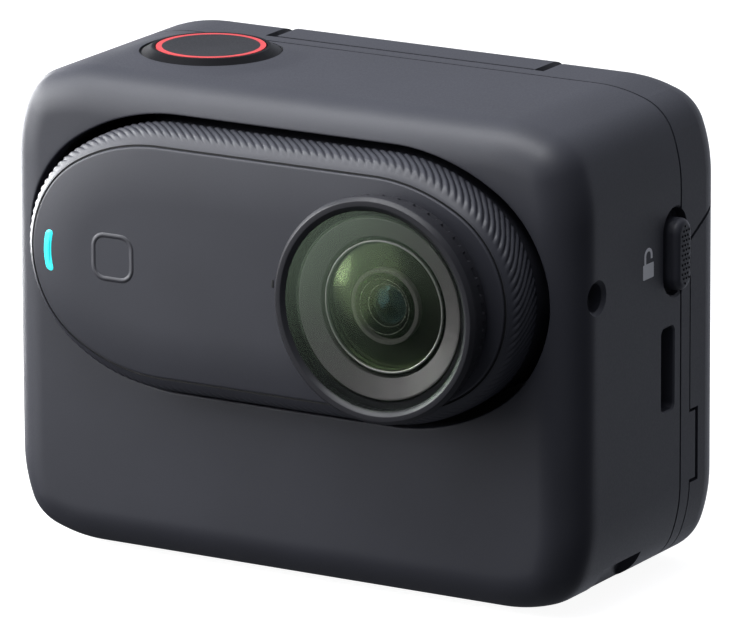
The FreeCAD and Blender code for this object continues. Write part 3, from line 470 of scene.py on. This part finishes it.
FRONT_ROUND = 4.2
SOFTNESS = 2.15
FLAT_SHARE = 0.35
LIP = 0.2
SEAM_ROUND = 0.12
SWELL_RADIUS = 10.2
SWELL_HEIGHT = 0.22
SWELL_FADE = 3.0
SWELL_TOP = 2
AROUND = 760

pod_outline = soft_rectangle(HALF_WIDTH, MIDDLE, POD_CORNER)
inner_outline = soft_rectangle(HALF_WIDTH - WALL, MIDDLE - WALL, POD_CORNER - 1.5)
bay_outline = pill(*BAY_HALF)
pod_inset = Inset(pod_outline)
bay_centre = np.array((0, BAY_MIDDLE))

sweep = np.linspace(0, math.pi / 2, 60)
round_inset = FRONT_ROUND * (1 - np.cos(sweep) ** (2 / SOFTNESS))
round_depth = FRONT + FRONT_ROUND * (1 - np.sin(sweep) ** (2 / SOFTNESS))
round_run = np.concatenate(((0,), np.cumsum(np.hypot(np.diff(round_inset), np.diff(round_depth)))))


def shell_depth(inset):
    """Y of the shell's front surface, this far inside the pod's outline."""
    return np.interp(inset, round_inset, round_depth)


def shell_run(inset):
    """Distance along the shell's front profile, with the flat part counted for less."""
    flat = np.maximum(inset - FRONT_ROUND, 0)
    return np.interp(inset, round_inset, round_run) + FLAT_SHARE * flat


def swell(vertices):
    """The low swelling of the shell's top round the shutter button."""
    reach = np.hypot(vertices[:, 0] - SHUTTER.x, vertices[:, 1] - SHUTTER.y)
    rise = np.clip((SWELL_RADIUS - reach) / (SWELL_RADIUS - BEZEL_RADIUS), 0, 1)
    fade = np.clip((SEAM - 0.2 - vertices[:, 1]) / SWELL_FADE, 0, 1)
    rise, fade = [share * share * (3 - 2 * share) for share in (rise, fade)]
    top = np.clip((vertices[:, 2] - HEIGHT + SWELL_TOP) / SWELL_TOP, 0, 1)
    vertices[:, 2] += SWELL_HEIGHT * rise * fade * top
    return vertices


def front_shell():
    """The pod's front, hollow, with a soft front edge and the bay's opening cut through it."""
    outer, outward = spread(pod_outline, AROUND)
    away = outer - bay_centre
    angles = np.arctan2(away[:, 1], away[:, 0])
    inner = at_angles(inner_outline, bay_centre, angles)
    edge = at_angles(bay_outline, bay_centre, angles)
    lip = edge + LIP * normals_of(edge)

    share = np.linspace(0, 1, 60)
    rays = outer[:, None] + (lip - outer)[:, None] * share[None, :, None]
    runs = np.maximum.accumulate(shell_run(pod_inset(rays)), axis=1) + share * 1e-6
    levels = np.linspace(0, 1, 46)
    places = np.array([np.interp(levels * run[-1], run, share) for run in runs])
    surface = outer[:, None] + (lip - outer)[:, None] * places[:, :, None]
    depths = shell_depth(pod_inset(surface))

    rings = [in_depth(inner, SEAM), in_depth(outer - SEAM_ROUND * outward, SEAM)]
    side_start = FRONT + FRONT_ROUND
    for y in np.linspace(SEAM - SEAM_ROUND, side_start, 28)[:-1]:
        rings.append(in_depth(outer, y))
    for level in range(len(levels)):
        rings.append(in_depth(surface[:, level], depths[:, level]))
    start = rings[-1]
    edge_depth = shell_depth(pod_inset(edge))
    end = in_depth(edge, edge_depth + LIP)
    corner = in_depth(edge, edge_depth)
    for step in np.linspace(0, 1, 7)[1:]:
        rings.append((1 - step) ** 2 * start + 2 * step * (1 - step) * corner + step ** 2 * end)
    back = FRONT + WALL
    rings.append(in_depth(edge, back))
    rings.append(in_depth(inner, back + 0.6))
    vertices = swell(np.vstack(rings))
    faces = ring_faces(len(rings), AROUND, closed=True)
    return mesh_from("front_shell_skin", vertices, faces, "pod", paints["shell"])


def cutter_between(outline, plane, levels):
    """A closed solid to cut with, from loops at several levels. Each level is (where, growth)."""
    outward = normals_of(outline)
    rings = []
    for where, growth in levels:
        first, second = (outline + outward * growth).T
        level = np.full(len(outline), where)
        columns = {"side": (level, first, second), "top": (first, second, level),
                   "front": (first, level, second)}
        rings.append(np.stack(columns[plane], 1))
    count = len(outline)
    faces = ring_faces(len(rings), count)
    faces.append(tuple(range(count)))
    faces.append(tuple(range((len(rings) - 1) * count, len(rings) * count)))
    mesh = bpy.data.meshes.new("cutter")
    mesh.from_pydata((np.vstack(rings) * MM).tolist(), [], faces)
    made = bpy.data.objects.new("cutter", mesh)
    bpy.context.scene.collection.objects.link(made)
    bm = bmesh.new()
    bm.from_mesh(mesh)
    bmesh.ops.recalc_face_normals(bm, faces=bm.faces)
    bm.to_mesh(mesh)
    bm.free()
    return made


def slot_loop(half_across, half_up, centre):
    """A slot with round ends, upright."""
    straight = half_up - half_across
    quarter = walk((half_across, 0), 90, [(None, straight), (half_across, 90)], step=0.05)
    return closed_by_mirrors(quarter) + centre


def block_loop(low, high, corner=0.25):
    """A rectangle with round corners, from its low and high corner."""
    half = ((high[0] - low[0]) / 2, (high[1] - low[1]) / 2)
    quarter = walk((half[0], 0), 90, [
        (None, half[1] - corner), (corner, 90), (None, half[0] - corner)], step=0.1)
    return closed_by_mirrors(quarter) + ((low[0] + high[0]) / 2, (low[1] + high[1]) / 2)


def carve(piece, cutters):
    """Cuts shapes out of a piece for good, and deletes them."""
    for cutter in cutters:
        modifier = piece.modifiers.new("cut", "BOOLEAN")
        modifier.operation = "DIFFERENCE"
        modifier.solver = "MANIFOLD"
        modifier.object = cutter
        bpy.context.view_layer.update()
        carved = bpy.data.meshes.new_from_object(
            piece.evaluated_get(bpy.context.evaluated_depsgraph_get()))
        piece.modifiers.clear()
        piece.data = carved
        bpy.data.objects.remove(cutter)


HOLE = (-10.5, 31.24)
HOLE_RADIUS = 1.4
SPEAKER_SLOT = ((2.08, 17.0), (4.52, 25.2))
RECESS = (4.75, 32.4)
RECESS_HALF = (2.25, 4.3)
KEYS = ((-1.0, 24.2), (-1.0, 19.0))
KEY_HALF = (1.3, 1.9)
COVER_POCKET = ((-8.6, 8.15), (4.6, 15.5))
PORT_OPENING = ((-6.6, 10.3), (2.6, 13.7))
THROUGH = 28.5
SHAFT_RADIUS = 5.9
BEZEL_DEPTH = 0.3
SHAFT_DEPTH = 3.2
NOTCH_RADIUS = 3.5
NOTCH_INSET = 0.3
NOTCH_DEPTH = (-7.4, -0.1)


def flared(outline, side, deep, flare):
    """A cutter that comes in from one side of the pod, with a chamfered mouth."""
    surface = side * HALF_WIDTH
    levels = [(surface + side, flare + 0.02), (surface + side * 0.02, flare + 0.02),
              (surface - side * flare, 0.0), (side * deep, 0.0)]
    return cutter_between(outline, "side", levels)


def from_top(radius, depth, count=96):
    """A round cutter that comes down on the shutter button's axis."""
    outline = circle(radius, SHUTTER[:2], count)
    return cutter_between(outline, "top", [(HEIGHT - depth, 0), (HEIGHT + 1, 0)])


shell_skin = front_shell()
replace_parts(shell_skin, "front_shell")
cutters = [
    from_top(BEZEL_RADIUS + 0.06, BEZEL_DEPTH, count=192),
    from_top(SHAFT_RADIUS, SHAFT_DEPTH),
    flared(circle(HOLE_RADIUS, HOLE), 1, THROUGH, flare=0.35),
    flared(block_loop(*SPEAKER_SLOT, corner=0.6), 1, THROUGH, flare=0.15),
    flared(slot_loop(*RECESS_HALF, RECESS), 1, HALF_WIDTH - 1.0, flare=0.2),
]
cutters += [flared(slot_loop(*KEY_HALF, key), -1, THROUGH, flare=0.12) for key in KEYS]
cutters.append(flared(block_loop(*COVER_POCKET), -1, HALF_WIDTH - 1.1, flare=0.12))
cutters.append(cutter_between(block_loop(*PORT_OPENING), "side", [(-HALF_WIDTH, 0), (-THROUGH, 0)]))
for side in (-1, 1):
    notch = circle(NOTCH_RADIUS, (side * (HALF_WIDTH - NOTCH_INSET), NOTCH_INSET))
    cutters.append(cutter_between(notch, "front", [(depth, 0) for depth in NOTCH_DEPTH]))
carve(shell_skin, cutters)
shell_skin.data.polygons.foreach_set("use_smooth", [True] * len(shell_skin.data.polygons))
sharpen(shell_skin, 28)


# ---------------------------------------------------------------------------------------------
# Camera: ribbed flank and crowned face

RIBS = 156
RIB_STEPS = 11
RIB_HEIGHT = 0.2
RIB_LEAN = 1.0
RIB_PITCH = 0.87
RIB_START = 0.06
RIB_FADE, RIB_END = 0.20, 0.93
FLANK_START = -14.0
FLANK_ROUND = 6
FLANK_INSIDE = 0.3
LINE_WIDTH = 0.2
LINE_DEPTH = 0.35
FACE_FRONT = face_low.y
FACE_BACK = face_high.y
FACE_HOLE = 9.4
CROWN = 0.48
CROWN_REACH = 5.4
CROWN_POWER = 2.0
EDGE_ROUND = 0.18
RIM = FACE_FRONT + CROWN + EDGE_ROUND

face_outline = pill(*FACE_HALF)
face_inset = Inset(face_outline)


def flank():
    """The ribbed sleeve round the camera: leaning ribs that fade out as it rounds to the face."""
    count = RIBS * RIB_STEPS
    wide, outward = spread(pill(*CASE_HALF), count)
    face_line, face_out = spread(face_outline, count)
    narrow = face_line + LINE_WIDTH * face_out
    drop = CASE_HALF[1] - FACE_HALF[1] - LINE_WIDTH
    length = FLANK_START - RIM
    around = np.arange(count) / count * RIBS
    rings = []
    for forward in np.linspace(0, 1, 56) ** 0.8:
        narrowing = forward ** FLANK_ROUND
        tilt = math.atan(FLANK_ROUND * forward ** (FLANK_ROUND - 1) * drop / length)
        y = FLANK_START - length * forward
        phase = around + RIB_LEAN * forward * length / RIB_PITCH
        ridge = np.abs(np.cos(math.pi * phase)) ** 0.8
        fade = np.clip((RIB_END - forward) / RIB_FADE, 0, 1)
        strength = min(forward / RIB_START, 1) * fade * fade * (3 - 2 * fade)
        lift = 0.03 * (1 - forward ** 8) + RIB_HEIGHT * ridge * strength
        outline = wide + (narrow - wide) * narrowing + outward * (math.cos(tilt) * lift)[:, None]
        rings.append(in_depth(outline, y - math.sin(tilt) * lift))
    rings.append(in_depth(narrow, RIM + 0.04))
    rings.append(in_depth(narrow, RIM + LINE_DEPTH))
    rings.append(in_depth(wide - FLANK_INSIDE * outward, FLANK_START - 2.0))
    rings.append(in_depth(wide - FLANK_INSIDE * outward, FLANK_START))
    faces = ring_faces(len(rings), count, closed=True)
    piece = mesh_from("camera_flank", np.vstack(rings), faces, "camera", paints["case"])
    sharpen(piece, 50)


def face_line():
    """A black strip at the bottom of the thin groove round the face: painted shade that stands in for the
    groove's shadow.
    """
    outline, outward = spread(face_outline, 480)
    front, back = FACE_BACK + 0.03, FACE_BACK + 0.12
    rings = [in_depth(outline + grown * outward, y)
             for grown, y in ((-0.2, front), (0.3, front), (0.3, back), (-0.2, back))]
    piece = mesh_from("face_line", np.vstack(rings), ring_faces(4, 480, closed=True), "camera",
                      paints["gasket"])
    sharpen(piece, 30)


def face_depth(inset):
    """Y of the camera's face: a small round edge, then a crown that runs out to flat."""
    edge = np.clip(1 - inset / EDGE_ROUND, 0, 1)
    crown = np.clip(1 - inset / CROWN_REACH, 0, 1)
    return FACE_FRONT + CROWN * crown ** CROWN_POWER + EDGE_ROUND * (1 - np.sqrt(1 - edge ** 2))


def camera_face():
    """The face's skin, from its back over its edge and crown to the lens's round hole."""
    count = 720
    centre = np.array((LENS.x, LENS.z))
    outer, outward = spread(face_outline, count)
    away = outer - centre
    angles = np.arctan2(away[:, 1], away[:, 0])
    hole = centre + FACE_HOLE * np.stack((np.cos(angles), np.sin(angles)), 1)
    share = np.linspace(0, 1, 60)
    rays = outer[:, None] + (hole - outer)[:, None] * share[None, :, None]
    insets = face_inset(rays)
    runs = np.minimum(insets, EDGE_ROUND) * 4 + np.minimum(insets, CROWN_REACH) + 0.02 * insets
    runs = np.maximum.accumulate(runs, axis=1) + share
    levels = np.linspace(0, 1, 34)
    places = np.array([np.interp(levels * (run[-1] - run[0]) + run[0], run, share) for run in runs])
    surface = outer[:, None] + (hole - outer)[:, None] * places[:, :, None]
    depths = face_depth(face_inset(surface))
    rings = [in_depth(hole, FACE_BACK), in_depth(outer, FACE_BACK)]
    for level in range(len(levels)):
        rings.append(in_depth(surface[:, level], depths[:, level]))
    faces = ring_faces(len(rings), count, closed=True)
    piece = mesh_from("camera_face_skin", np.vstack(rings), faces, "camera", paints["face"])
    sharpen(piece, 40)
    return piece


def on_face(name, loops, material, lift, back):
    """A low solid on the camera's face. Its loops shrink inwards; each is (outline, rise)."""
    count = len(loops[0][0])
    rings = [in_depth(loops[0][0], back)]
    for outline, rise in loops:
        rings.append(in_depth(outline, face_depth(face_inset(outline)) - lift - rise))
    faces = ring_faces(len(rings), count)
    faces.append(tuple(range((len(rings) - 1) * count, len(rings) * count)))
    faces.append(tuple(reversed(range(count))))
    return mesh_from(name, np.vstack(rings), faces, "camera", material)


flank()
# The black strip in the groove round the face is painted shade.
face_line()
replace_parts(camera_face(), "camera_face")

LIGHT_BEND = 0.16
light_centre = ((light_low.x + light_high.x) / 2, (light_low.z + light_high.z) / 2)
light_half = ((light_high.x - light_low.x) / 2 - LIGHT_BEND, (light_high.z - light_low.z) / 2)
light_paint = Paint("light_on").set(Roughness=0.35, Emission_Strength=1.0)
glow = light_paint.ramp(light_paint.noise(3.0), [(0.3, (0.02, 0.68, 0.74)), (0.7, (0.05, 0.80, 0.86))])
light_paint.link(glow, light_paint.shader.inputs["Emission Color"])
light_paint.colour(glow)
bar = slot_loop(*light_half, light_centre)
bar[:, 0] += LIGHT_BEND * (2 * ((bar[:, 1] - light_centre[1]) / light_half[1]) ** 2 - 1)
bar_out = normals_of(bar)
bar_loops = [(bar, 0), (bar - 0.12 * bar_out, 0.05), (bar - 0.3 * bar_out, 0.07)]
light_bar = on_face("status_light_bar", bar_loops, light_paint.material, 0.0, light_high.y)
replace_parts(light_bar, "status_light")

mark_paint = moulded("mark", (0.046, 0.046, 0.054), 0.48, depth=0.002)
MARK = ((-19.2, 28.5), (-14.4, 33.3))
INDEX_MARK = ((1.05, 30.25), (1.35, 31.05))


def printed_line(name, outline, width, material, thickness=0.004):
    """A printed line that follows a closed outline on the camera's face."""
    inside = outline - width * normals_of(outline)
    rings = []
    for loop, lift in ((outline, -0.01), (outline, thickness), (inside, thickness), (inside, -0.01)):
        rings.append(in_depth(loop, face_depth(face_inset(loop)) - lift))
    mesh_from(name, np.vstack(rings), ring_faces(4, len(outline), closed=True), "camera", material)


printed_line("face_mark", block_loop(*MARK, corner=1.5), 0.5, mark_paint)
tick = block_loop(*INDEX_MARK, corner=0.12)
on_face("index_mark", [(tick, 0), (tick - 0.05 * normals_of(tick), 0.01)], paints["liner"], 0.01,
        FACE_FRONT + 0.1)


# ---------------------------------------------------------------------------------------------
# Lens and its guard

GUARD_RADIUS = (guard_high.x - guard_low.x) / 2
GUARD_FRONT = guard_low.y
GUARD_BACK = guard_high.y
GUARD_WALL = GUARD_RADIUS - 0.2
GUARD_LIP = GUARD_RADIUS - 0.38
GUARD_LIP_BORE = GUARD_RADIUS - 0.88
GUARD_BEVEL = 0.45
GUARD_GROOVE = -20.1
GUARD_FOOT = GUARD_RADIUS - 0.65
GUARD_BORE = 10.0
GLASS_RADIUS = (glass_high.x - glass_low.x) / 2
GLASS_BACK = glass_high.y
LEDGE_BORE = 9.0
TEETH = 40
TOOTH = 0.26
LUGS = 3
LUG_TURN = 40
LUG_HALF = 0.07 * math.pi
LUG_FRONT = -19.95
LUG_RADII = (9.5, 10.05)
lens_centre = (LENS.x, LENS.z)


def guard_ring():
    """The guard's ring: a bevelled lip, a wall with small grip teeth at its back, and a foot."""
    count = TEETH * 16
    spin = np.linspace(0, 2 * math.pi, count, endpoint=False)
    wave = np.clip(2.2 * np.sin(TEETH * spin) + 0.6, -1, 1)
    tooth = TOOTH * (1 - wave)
    bevel_back = GUARD_FRONT + GUARD_BEVEL
    ledge_back = GLASS_BACK + 0.3
    front = rounded([
        (GUARD_GROOVE - 0.6, GUARD_WALL), (bevel_back, GUARD_RADIUS), (GUARD_FRONT, GUARD_LIP),
        (GUARD_FRONT, GUARD_LIP_BORE), (bevel_back, GLASS_RADIUS), (GLASS_BACK, GLASS_RADIUS),
        (GLASS_BACK, LEDGE_BORE), (ledge_back, LEDGE_BORE), (ledge_back, GUARD_BORE),
        (GUARD_BACK, GUARD_BORE), (GUARD_BACK, GUARD_FOOT), (GUARD_GROOVE, GUARD_FOOT),
    ], [0, 0.12, 0.06, 0.06, 0.06, 0, 0, 0, 0, 0, 0.05, 0])
    profile = list(front)
    for along, inset, depth in ((0, 0.08, 1.0), (-0.08, 0, 1.0), (-0.35, 0, 1.0), (-0.55, 0, 0.2)):
        profile.append((GUARD_GROOVE + along, GUARD_WALL - inset - tooth * depth))
    rings = [in_depth(circle(radius, lens_centre, count), along) for along, radius in profile]
    faces = ring_faces(len(rings), count, closed=True)
    piece = mesh_from("guard_ring_skin", np.vstack(rings), faces, "guard", paints["guard_metal"])
    sharpen(piece, 24)
    return piece


def lens_ring(name, outer, inner, front, back, material, soft=0.05):
    """A plain ring about the lens's axis."""
    profile = rounded([(back, inner), (back, outer), (front, outer), (front, inner)], soft)
    sharpen(turned(name, profile, "camera", material, lens_centre), 40)


def lens_dome(name, half_width, bulge, front, thickness, material):
    """A thin meniscus: a domed front, a ground edge and a back that follows the front."""
    radius = (half_width ** 2 + bulge ** 2) / (2 * bulge)
    limit = math.asin(half_width / radius)
    arc = [(front + radius * (1 - math.cos(a)), max(radius * math.sin(a), 0.01))
           for a in np.linspace(0, limit, 40)]
    profile = arc + [(along + thickness, reach) for along, reach in reversed(arc)]
    piece = turned(name, profile, "camera", material, lens_centre, count=144)
    sharpen(piece, 40)
    return piece


def guard_lug(number):
    """One of the lugs inside the guard's foot that lock it to its mount."""
    middle = math.radians(LUG_TURN + 360 / LUGS * number) + LUG_HALF
    spin = np.linspace(-LUG_HALF, LUG_HALF, 14) + middle
    inner, outer = LUG_RADII
    corners = ((LUG_FRONT, outer), (LUG_FRONT, inner), (GUARD_BACK, inner), (GUARD_BACK, outer))
    rings = []
    for along, radius in corners:
        loop = np.stack((LENS.x + radius * np.cos(-spin), LENS.z + radius * np.sin(-spin)), 1)
        rings.append(in_depth(loop, along))
    sections = np.stack(rings, 1).reshape(-1, 3)
    faces = ring_faces(len(spin), len(corners))
    faces += [(0, 1, 2, 3), tuple(len(sections) - 1 - k for k in range(4))]
    mesh_from(f"guard_lug_{number}", sections, faces, "guard", paints["guard_metal"], smooth=False)


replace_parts(guard_ring(), "guard_ring")
for number in range(LUGS):
    guard_lug(number)

bright = metal("bright_ring", (0.62, 0.62, 0.60), 0.36, depth=0.001)
lens_ring("front_element_ring", 6.45, 6.22, -20.55, -20.2, bright, soft=0.1)
front_dome = lens_dome("front_element_dome", 6.15, 0.95, -21.15, 0.35, paints["lens_glass"])
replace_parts(front_dome, "front_element")
baffle = moulded("baffle", (0.004, 0.005, 0.004), 0.5, depth=0.002)
lens_ring("first_baffle", 6.2, 3.3, -19.6, -19.4, baffle)
grey_ring = moulded("grey_ring", (0.30, 0.285, 0.285), 0.35, depth=0.001)
lens_ring("middle_ring", 3.68, 3.25, -20.3, -19.6, grey_ring, soft=0.08)
thin_ring = metal("thin_ring", (0.75, 0.76, 0.72), 0.25, depth=0.0005)
lens_ring("inner_edge", 2.70, 2.64, -20.45, -20.35, thin_ring, soft=0.02)
lens_ring("second_edge", 2.10, 2.04, -19.85, -19.75, thin_ring, soft=0.02)
inner_glass = coated_glass("inner_glass", (0.30, 0.62, 0.70), 0.25, 0.8, blur=0.12)
lens_dome("middle_dome", 1.85, 0.6, -20.1, 0.2, inner_glass)


# ---------------------------------------------------------------------------------------------
# Lock slider, its grip and the padlock sign beside it

DOT_HEIGHT = 0.07
DOT_PITCH = 0.52
DOT_ROW = 0.9 * DOT_PITCH
DOT_SIDES = 10
DOT_LEVELS = ((-0.02, 0.13), (0.05, 0.11), (DOT_HEIGHT, 0.05))
SLIDER_FACE = slider_high.x - DOT_HEIGHT
SLIDER_FOOT = HALF_WIDTH - 0.9
SLIDER_HALF = (1.5, 3.55)
SLIDER_ROUND = 0.65
SIGN = (-0.6, 31.6)
SIGN_LOW, SIGN_HIGH = (-1.03, -0.68), (1.03, 0.8)
SHACKLE_RADIUS = 0.62
SHACKLE_HEIGHT = 1.55
SHACKLE_END = 1.2
SHACKLE_HALF = 0.17
slider_middle = (4.8, (slider_low.z + slider_high.z) / 2)


def slider_thumb():
    """The part of the slider that the thumb pushes, with a well rounded edge."""
    outline = slot_loop(*SLIDER_HALF, slider_middle)
    outward = normals_of(outline)
    levels = [(SLIDER_FOOT, 0)]
    for turn in np.linspace(0, math.pi / 2, 12):
        levels.append((SLIDER_FACE - SLIDER_ROUND * (1 - math.sin(turn)),
                       SLIDER_ROUND * (math.cos(turn) - 1)))
    rings = [np.column_stack((np.full(len(outline), level), outline + outward * growth))
             for level, growth in levels]
    count = len(outline)
    faces = ring_faces(len(rings), count)
    faces.append(tuple(range((len(rings) - 1) * count, len(rings) * count)))
    faces.append(tuple(reversed(range(count))))
    piece = mesh_from("lock_slider_thumb", np.vstack(rings), faces, "lock", paints["shell"])
    sharpen(piece, 40)
    return piece


def slider_grip():
    """Rows of small raised dots on the flat of the slider's face, every other row moved over. Their black
    paint is painted shade, so that the dots look dark like holes.
    """
    vertices, faces = [], []
    for row in range(-6, 7):
        for column in range(-1, 2):
            across = column * DOT_PITCH + (DOT_PITCH / 2 if row % 2 else 0)
            up = row * DOT_ROW
            reach = math.hypot(max(0, abs(up) - SLIDER_HALF[1] + SLIDER_HALF[0]), across)
            if reach > SLIDER_HALF[0] - SLIDER_ROUND:
                continue
            first = len(vertices)
            middle = (slider_middle[0] + across, slider_middle[1] + up)
            for lift, radius in DOT_LEVELS:
                vertices += [(SLIDER_FACE + lift, y, z) for y, z in circle(radius, middle, DOT_SIDES)]
            faces += ring_faces(len(DOT_LEVELS), DOT_SIDES, first=first)
            last = len(vertices) - DOT_SIDES
            faces.append(tuple(last + k for k in range(DOT_SIDES)))
            faces.append(tuple(first + k for k in reversed(range(DOT_SIDES))))
    # The dots' black paint is painted shade.
    mesh_from("slider_grip", vertices, faces, "lock", paints["bezel"])


def raised(name, outlines, material):
    """Thin printed shapes on the pod's right side. Outlines are in Y and Z."""
    vertices, faces = [], []
    for outline in outlines:
        first = len(vertices)
        count = len(outline)
        for level in (HALF_WIDTH - 0.02, HALF_WIDTH + 0.012):
            vertices += [(level, y, z) for y, z in outline]
        faces += ring_faces(2, count, first=first)
        faces.append(tuple(first + count + k for k in range(count)))
        faces.append(tuple(first + k for k in reversed(range(count))))
    mesh_from(name, vertices, faces, "pod", material, smooth=False)


def strap(path, half):
    """A band of constant width along an open path."""
    path = np.array(path)
    along = np.gradient(path, axis=0)
    along /= np.linalg.norm(along, axis=1)[:, None]
    side = np.stack((-along[:, 1], along[:, 0]), 1) * half
    return np.vstack((path + side, (path - side)[::-1]))


def padlock_sign():
    """An open padlock: a block under a shackle whose right end stops above it."""
    y, z = SIGN
    shackle = [(y - SHACKLE_RADIUS, z + SIGN_HIGH[1])]
    for a in np.linspace(math.pi, 0.0, 16):
        shackle.append((y + SHACKLE_RADIUS * math.cos(a),
                        z + SHACKLE_HEIGHT + SHACKLE_RADIUS * math.sin(a)))
    shackle.append((y + SHACKLE_RADIUS, z + SHACKLE_END))
    body = block_loop((y + SIGN_LOW[0], z + SIGN_LOW[1]), (y + SIGN_HIGH[0], z + SIGN_HIGH[1]), 0.12)
    sign_paint = moulded("sign", (0.75, 0.75, 0.76), 0.5, depth=0.002)
    raised("padlock_sign", [body, strap(shackle, SHACKLE_HALF)], sign_paint)


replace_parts(slider_thumb(), "lock_slider")
slider_grip()
padlock_sign()


# ---------------------------------------------------------------------------------------------
# Studio

def soft_light(name, place, aim, size, power, roll=0):
    """An even rectangular light. The roll turns it about the line to its aim, in degrees."""
    data = bpy.data.lights.new(name, "AREA")
    data.shape = "RECTANGLE"
    data.size, data.size_y = size
    data.energy = power
    data.color = (0.97, 0.98, 1.0)
    light = bpy.data.objects.new(name, data)
    light.location = place
    facing = (Vector(aim) - Vector(place)).to_track_quat("-Z", "Y").to_matrix()
    light.rotation_euler = (facing @ Matrix.Rotation(math.radians(roll), 3, "Z")).to_euler()
    bpy.context.scene.collection.objects.link(light)


def mapped(tree, source, span, values):
    """A smooth step of a value from one pair of numbers to another."""
    step = tree.nodes.new("ShaderNodeMapRange")
    step.interpolation_type = "SMOOTHSTEP"
    step.inputs["From Min"].default_value, step.inputs["From Max"].default_value = span
    step.inputs["To Min"].default_value, step.inputs["To Max"].default_value = values
    tree.links.new(source, step.inputs["Value"])
    return step.outputs["Result"]


ROOM_COLOUR = (0.88, 0.92, 1.04, 1)
ROOM_ZONES = [
    # direction of the zone's middle, how near to it the zone starts and is full, its brightness
    ((0, 0, 1), (-0.3, 0.1), (0, 0.11)),
    ((0, 0, -1), (0.4, 0.9), (0, 0.16)),
    ((-0.3, 0.2, 1), (0.3, 1.0), (0, 0.75)),
    ((0, 1, -0.2), (0.75, 1.0), (0, 0.9)),
    ((0.5, -0.8, 0), (0.6, 1.0), (0, 0.12)),
]


def studio_world():
    """A dim room, dark in front below, with soft brighter zones above, far behind and underneath."""
    world = bpy.data.worlds.new("studio")
    bpy.context.scene.world = world
    world.use_nodes = True
    tree = world.node_tree
    room = tree.nodes["Background"]
    room.inputs["Color"].default_value = ROOM_COLOUR
    place = tree.nodes.new("ShaderNodeTexCoord").outputs["Generated"]
    total = None
    for direction, span, values in ROOM_ZONES:
        weigh = tree.nodes.new("ShaderNodeVectorMath")
        weigh.operation = "DOT_PRODUCT"
        weigh.inputs[1].default_value = Vector(direction).normalized()
        tree.links.new(place, weigh.inputs[0])
        zone = mapped(tree, weigh.outputs["Value"], span, values)
        if total is not None:
            add = tree.nodes.new("ShaderNodeMath")
            tree.links.new(total, add.inputs[0])
            tree.links.new(zone, add.inputs[1])
            zone = add.outputs[0]
        total = zone
    tree.links.new(total, room.inputs["Strength"])
    white = tree.nodes.new("ShaderNodeBackground")
    white.inputs["Color"].default_value = (1, 1, 1, 1)
    pick = tree.nodes.new("ShaderNodeMixShader")
    tree.links.new(tree.nodes.new("ShaderNodeLightPath").outputs["Is Camera Ray"], pick.inputs[0])
    tree.links.new(room.outputs[0], pick.inputs[1])
    tree.links.new(white.outputs[0], pick.inputs[2])
    tree.links.new(pick.outputs[0], tree.nodes["World Output"].inputs["Surface"])


def pale_floor():
    """A plain floor that is pale by itself, so that it stays even in the room's soft light."""
    paint = Paint("floor").set(Roughness=0.8, Emission_Strength=0.93, Emission_Color=(1, 1, 1, 1))
    paint.colour(paint.ramp(paint.noise(60.0), [(0.3, (0.26, 0.26, 0.26)), (0.7, (0.29, 0.29, 0.29))]))
    bpy.ops.mesh.primitive_circle_add(vertices=96, radius=3.0, fill_type="NGON", location=(0, 0, -0.0002))
    floor = bpy.context.object
    floor.name = "floor"
    floor.data.materials.append(paint.material)
    floor.visible_diffuse = False
    floor.visible_glossy = False


AZIMUTH, ELEVATION, ROLL = 30.91, 14.80, -0.334
DISTANCE = 808.8
FOCAL_LENGTH = 412.1
SENSOR_WIDTH = 36
AIM_HEIGHT = 23.8
AIM_RIGHT, AIM_DOWN = 0.02, 0.64


def photo_camera():
    """The camera, by its angles about the object, its distance and what it aims at."""
    azimuth, elevation, roll = (math.radians(value) for value in (AZIMUTH, ELEVATION, ROLL))
    back = Vector((math.sin(azimuth) * math.cos(elevation), -math.cos(azimuth) * math.cos(elevation),
                   math.sin(elevation)))
    level = Vector((math.cos(azimuth), math.sin(azimuth), 0))
    right = math.cos(roll) * level + math.sin(roll) * back.cross(level)
    up = back.cross(right)
    eye = Vector((0, 0, AIM_HEIGHT)) + AIM_RIGHT * right - AIM_DOWN * up + DISTANCE * back
    data = bpy.data.cameras.new("photo_view")
    data.sensor_width = SENSOR_WIDTH
    data.lens = FOCAL_LENGTH
    data.clip_start = 0.01
    camera = bpy.data.objects.new("photo_view", data)
    turn = Matrix((right, up, back)).transposed().to_4x4()
    camera.matrix_world = Matrix.Translation(eye * MM) @ turn
    bpy.context.scene.collection.objects.link(camera)
    bpy.context.scene.camera = camera


studio_world()
pale_floor()
# Lights in metres: name, place, aim, size, power
soft_light("left_light", (-0.20, -0.12, 0.07), (0, -0.015, 0.02), (0.10, 0.14), 0.36)
soft_light("top_left_light", (-0.13, -0.10, 0.17), (0, 0, 0.04), (0.16, 0.12), 0.18)
soft_light("top_front_light", (-0.04, -0.09, 0.26), (0, 0, 0.04), (0.24, 0.10), 0.55)
soft_light("left_side_light", (-0.22, -0.03, 0.10), (0, 0, 0.04), (0.10, 0.10), 0.32)
soft_light("left_back_light", (-0.22, 0.10, 0.03), (-0.02, 0, 0.02), (0.12, 0.12), 0.8)
lens_aim = (LENS.x * MM, -0.0224, LENS.z * MM)
soft_light("lens_card", (-0.0850, -0.1129, 0.0478), lens_aim, (0.12, 0.12), 0.045, roll=45)
photo_camera()
bpy.context.scene.view_settings.view_transform = "Standard"
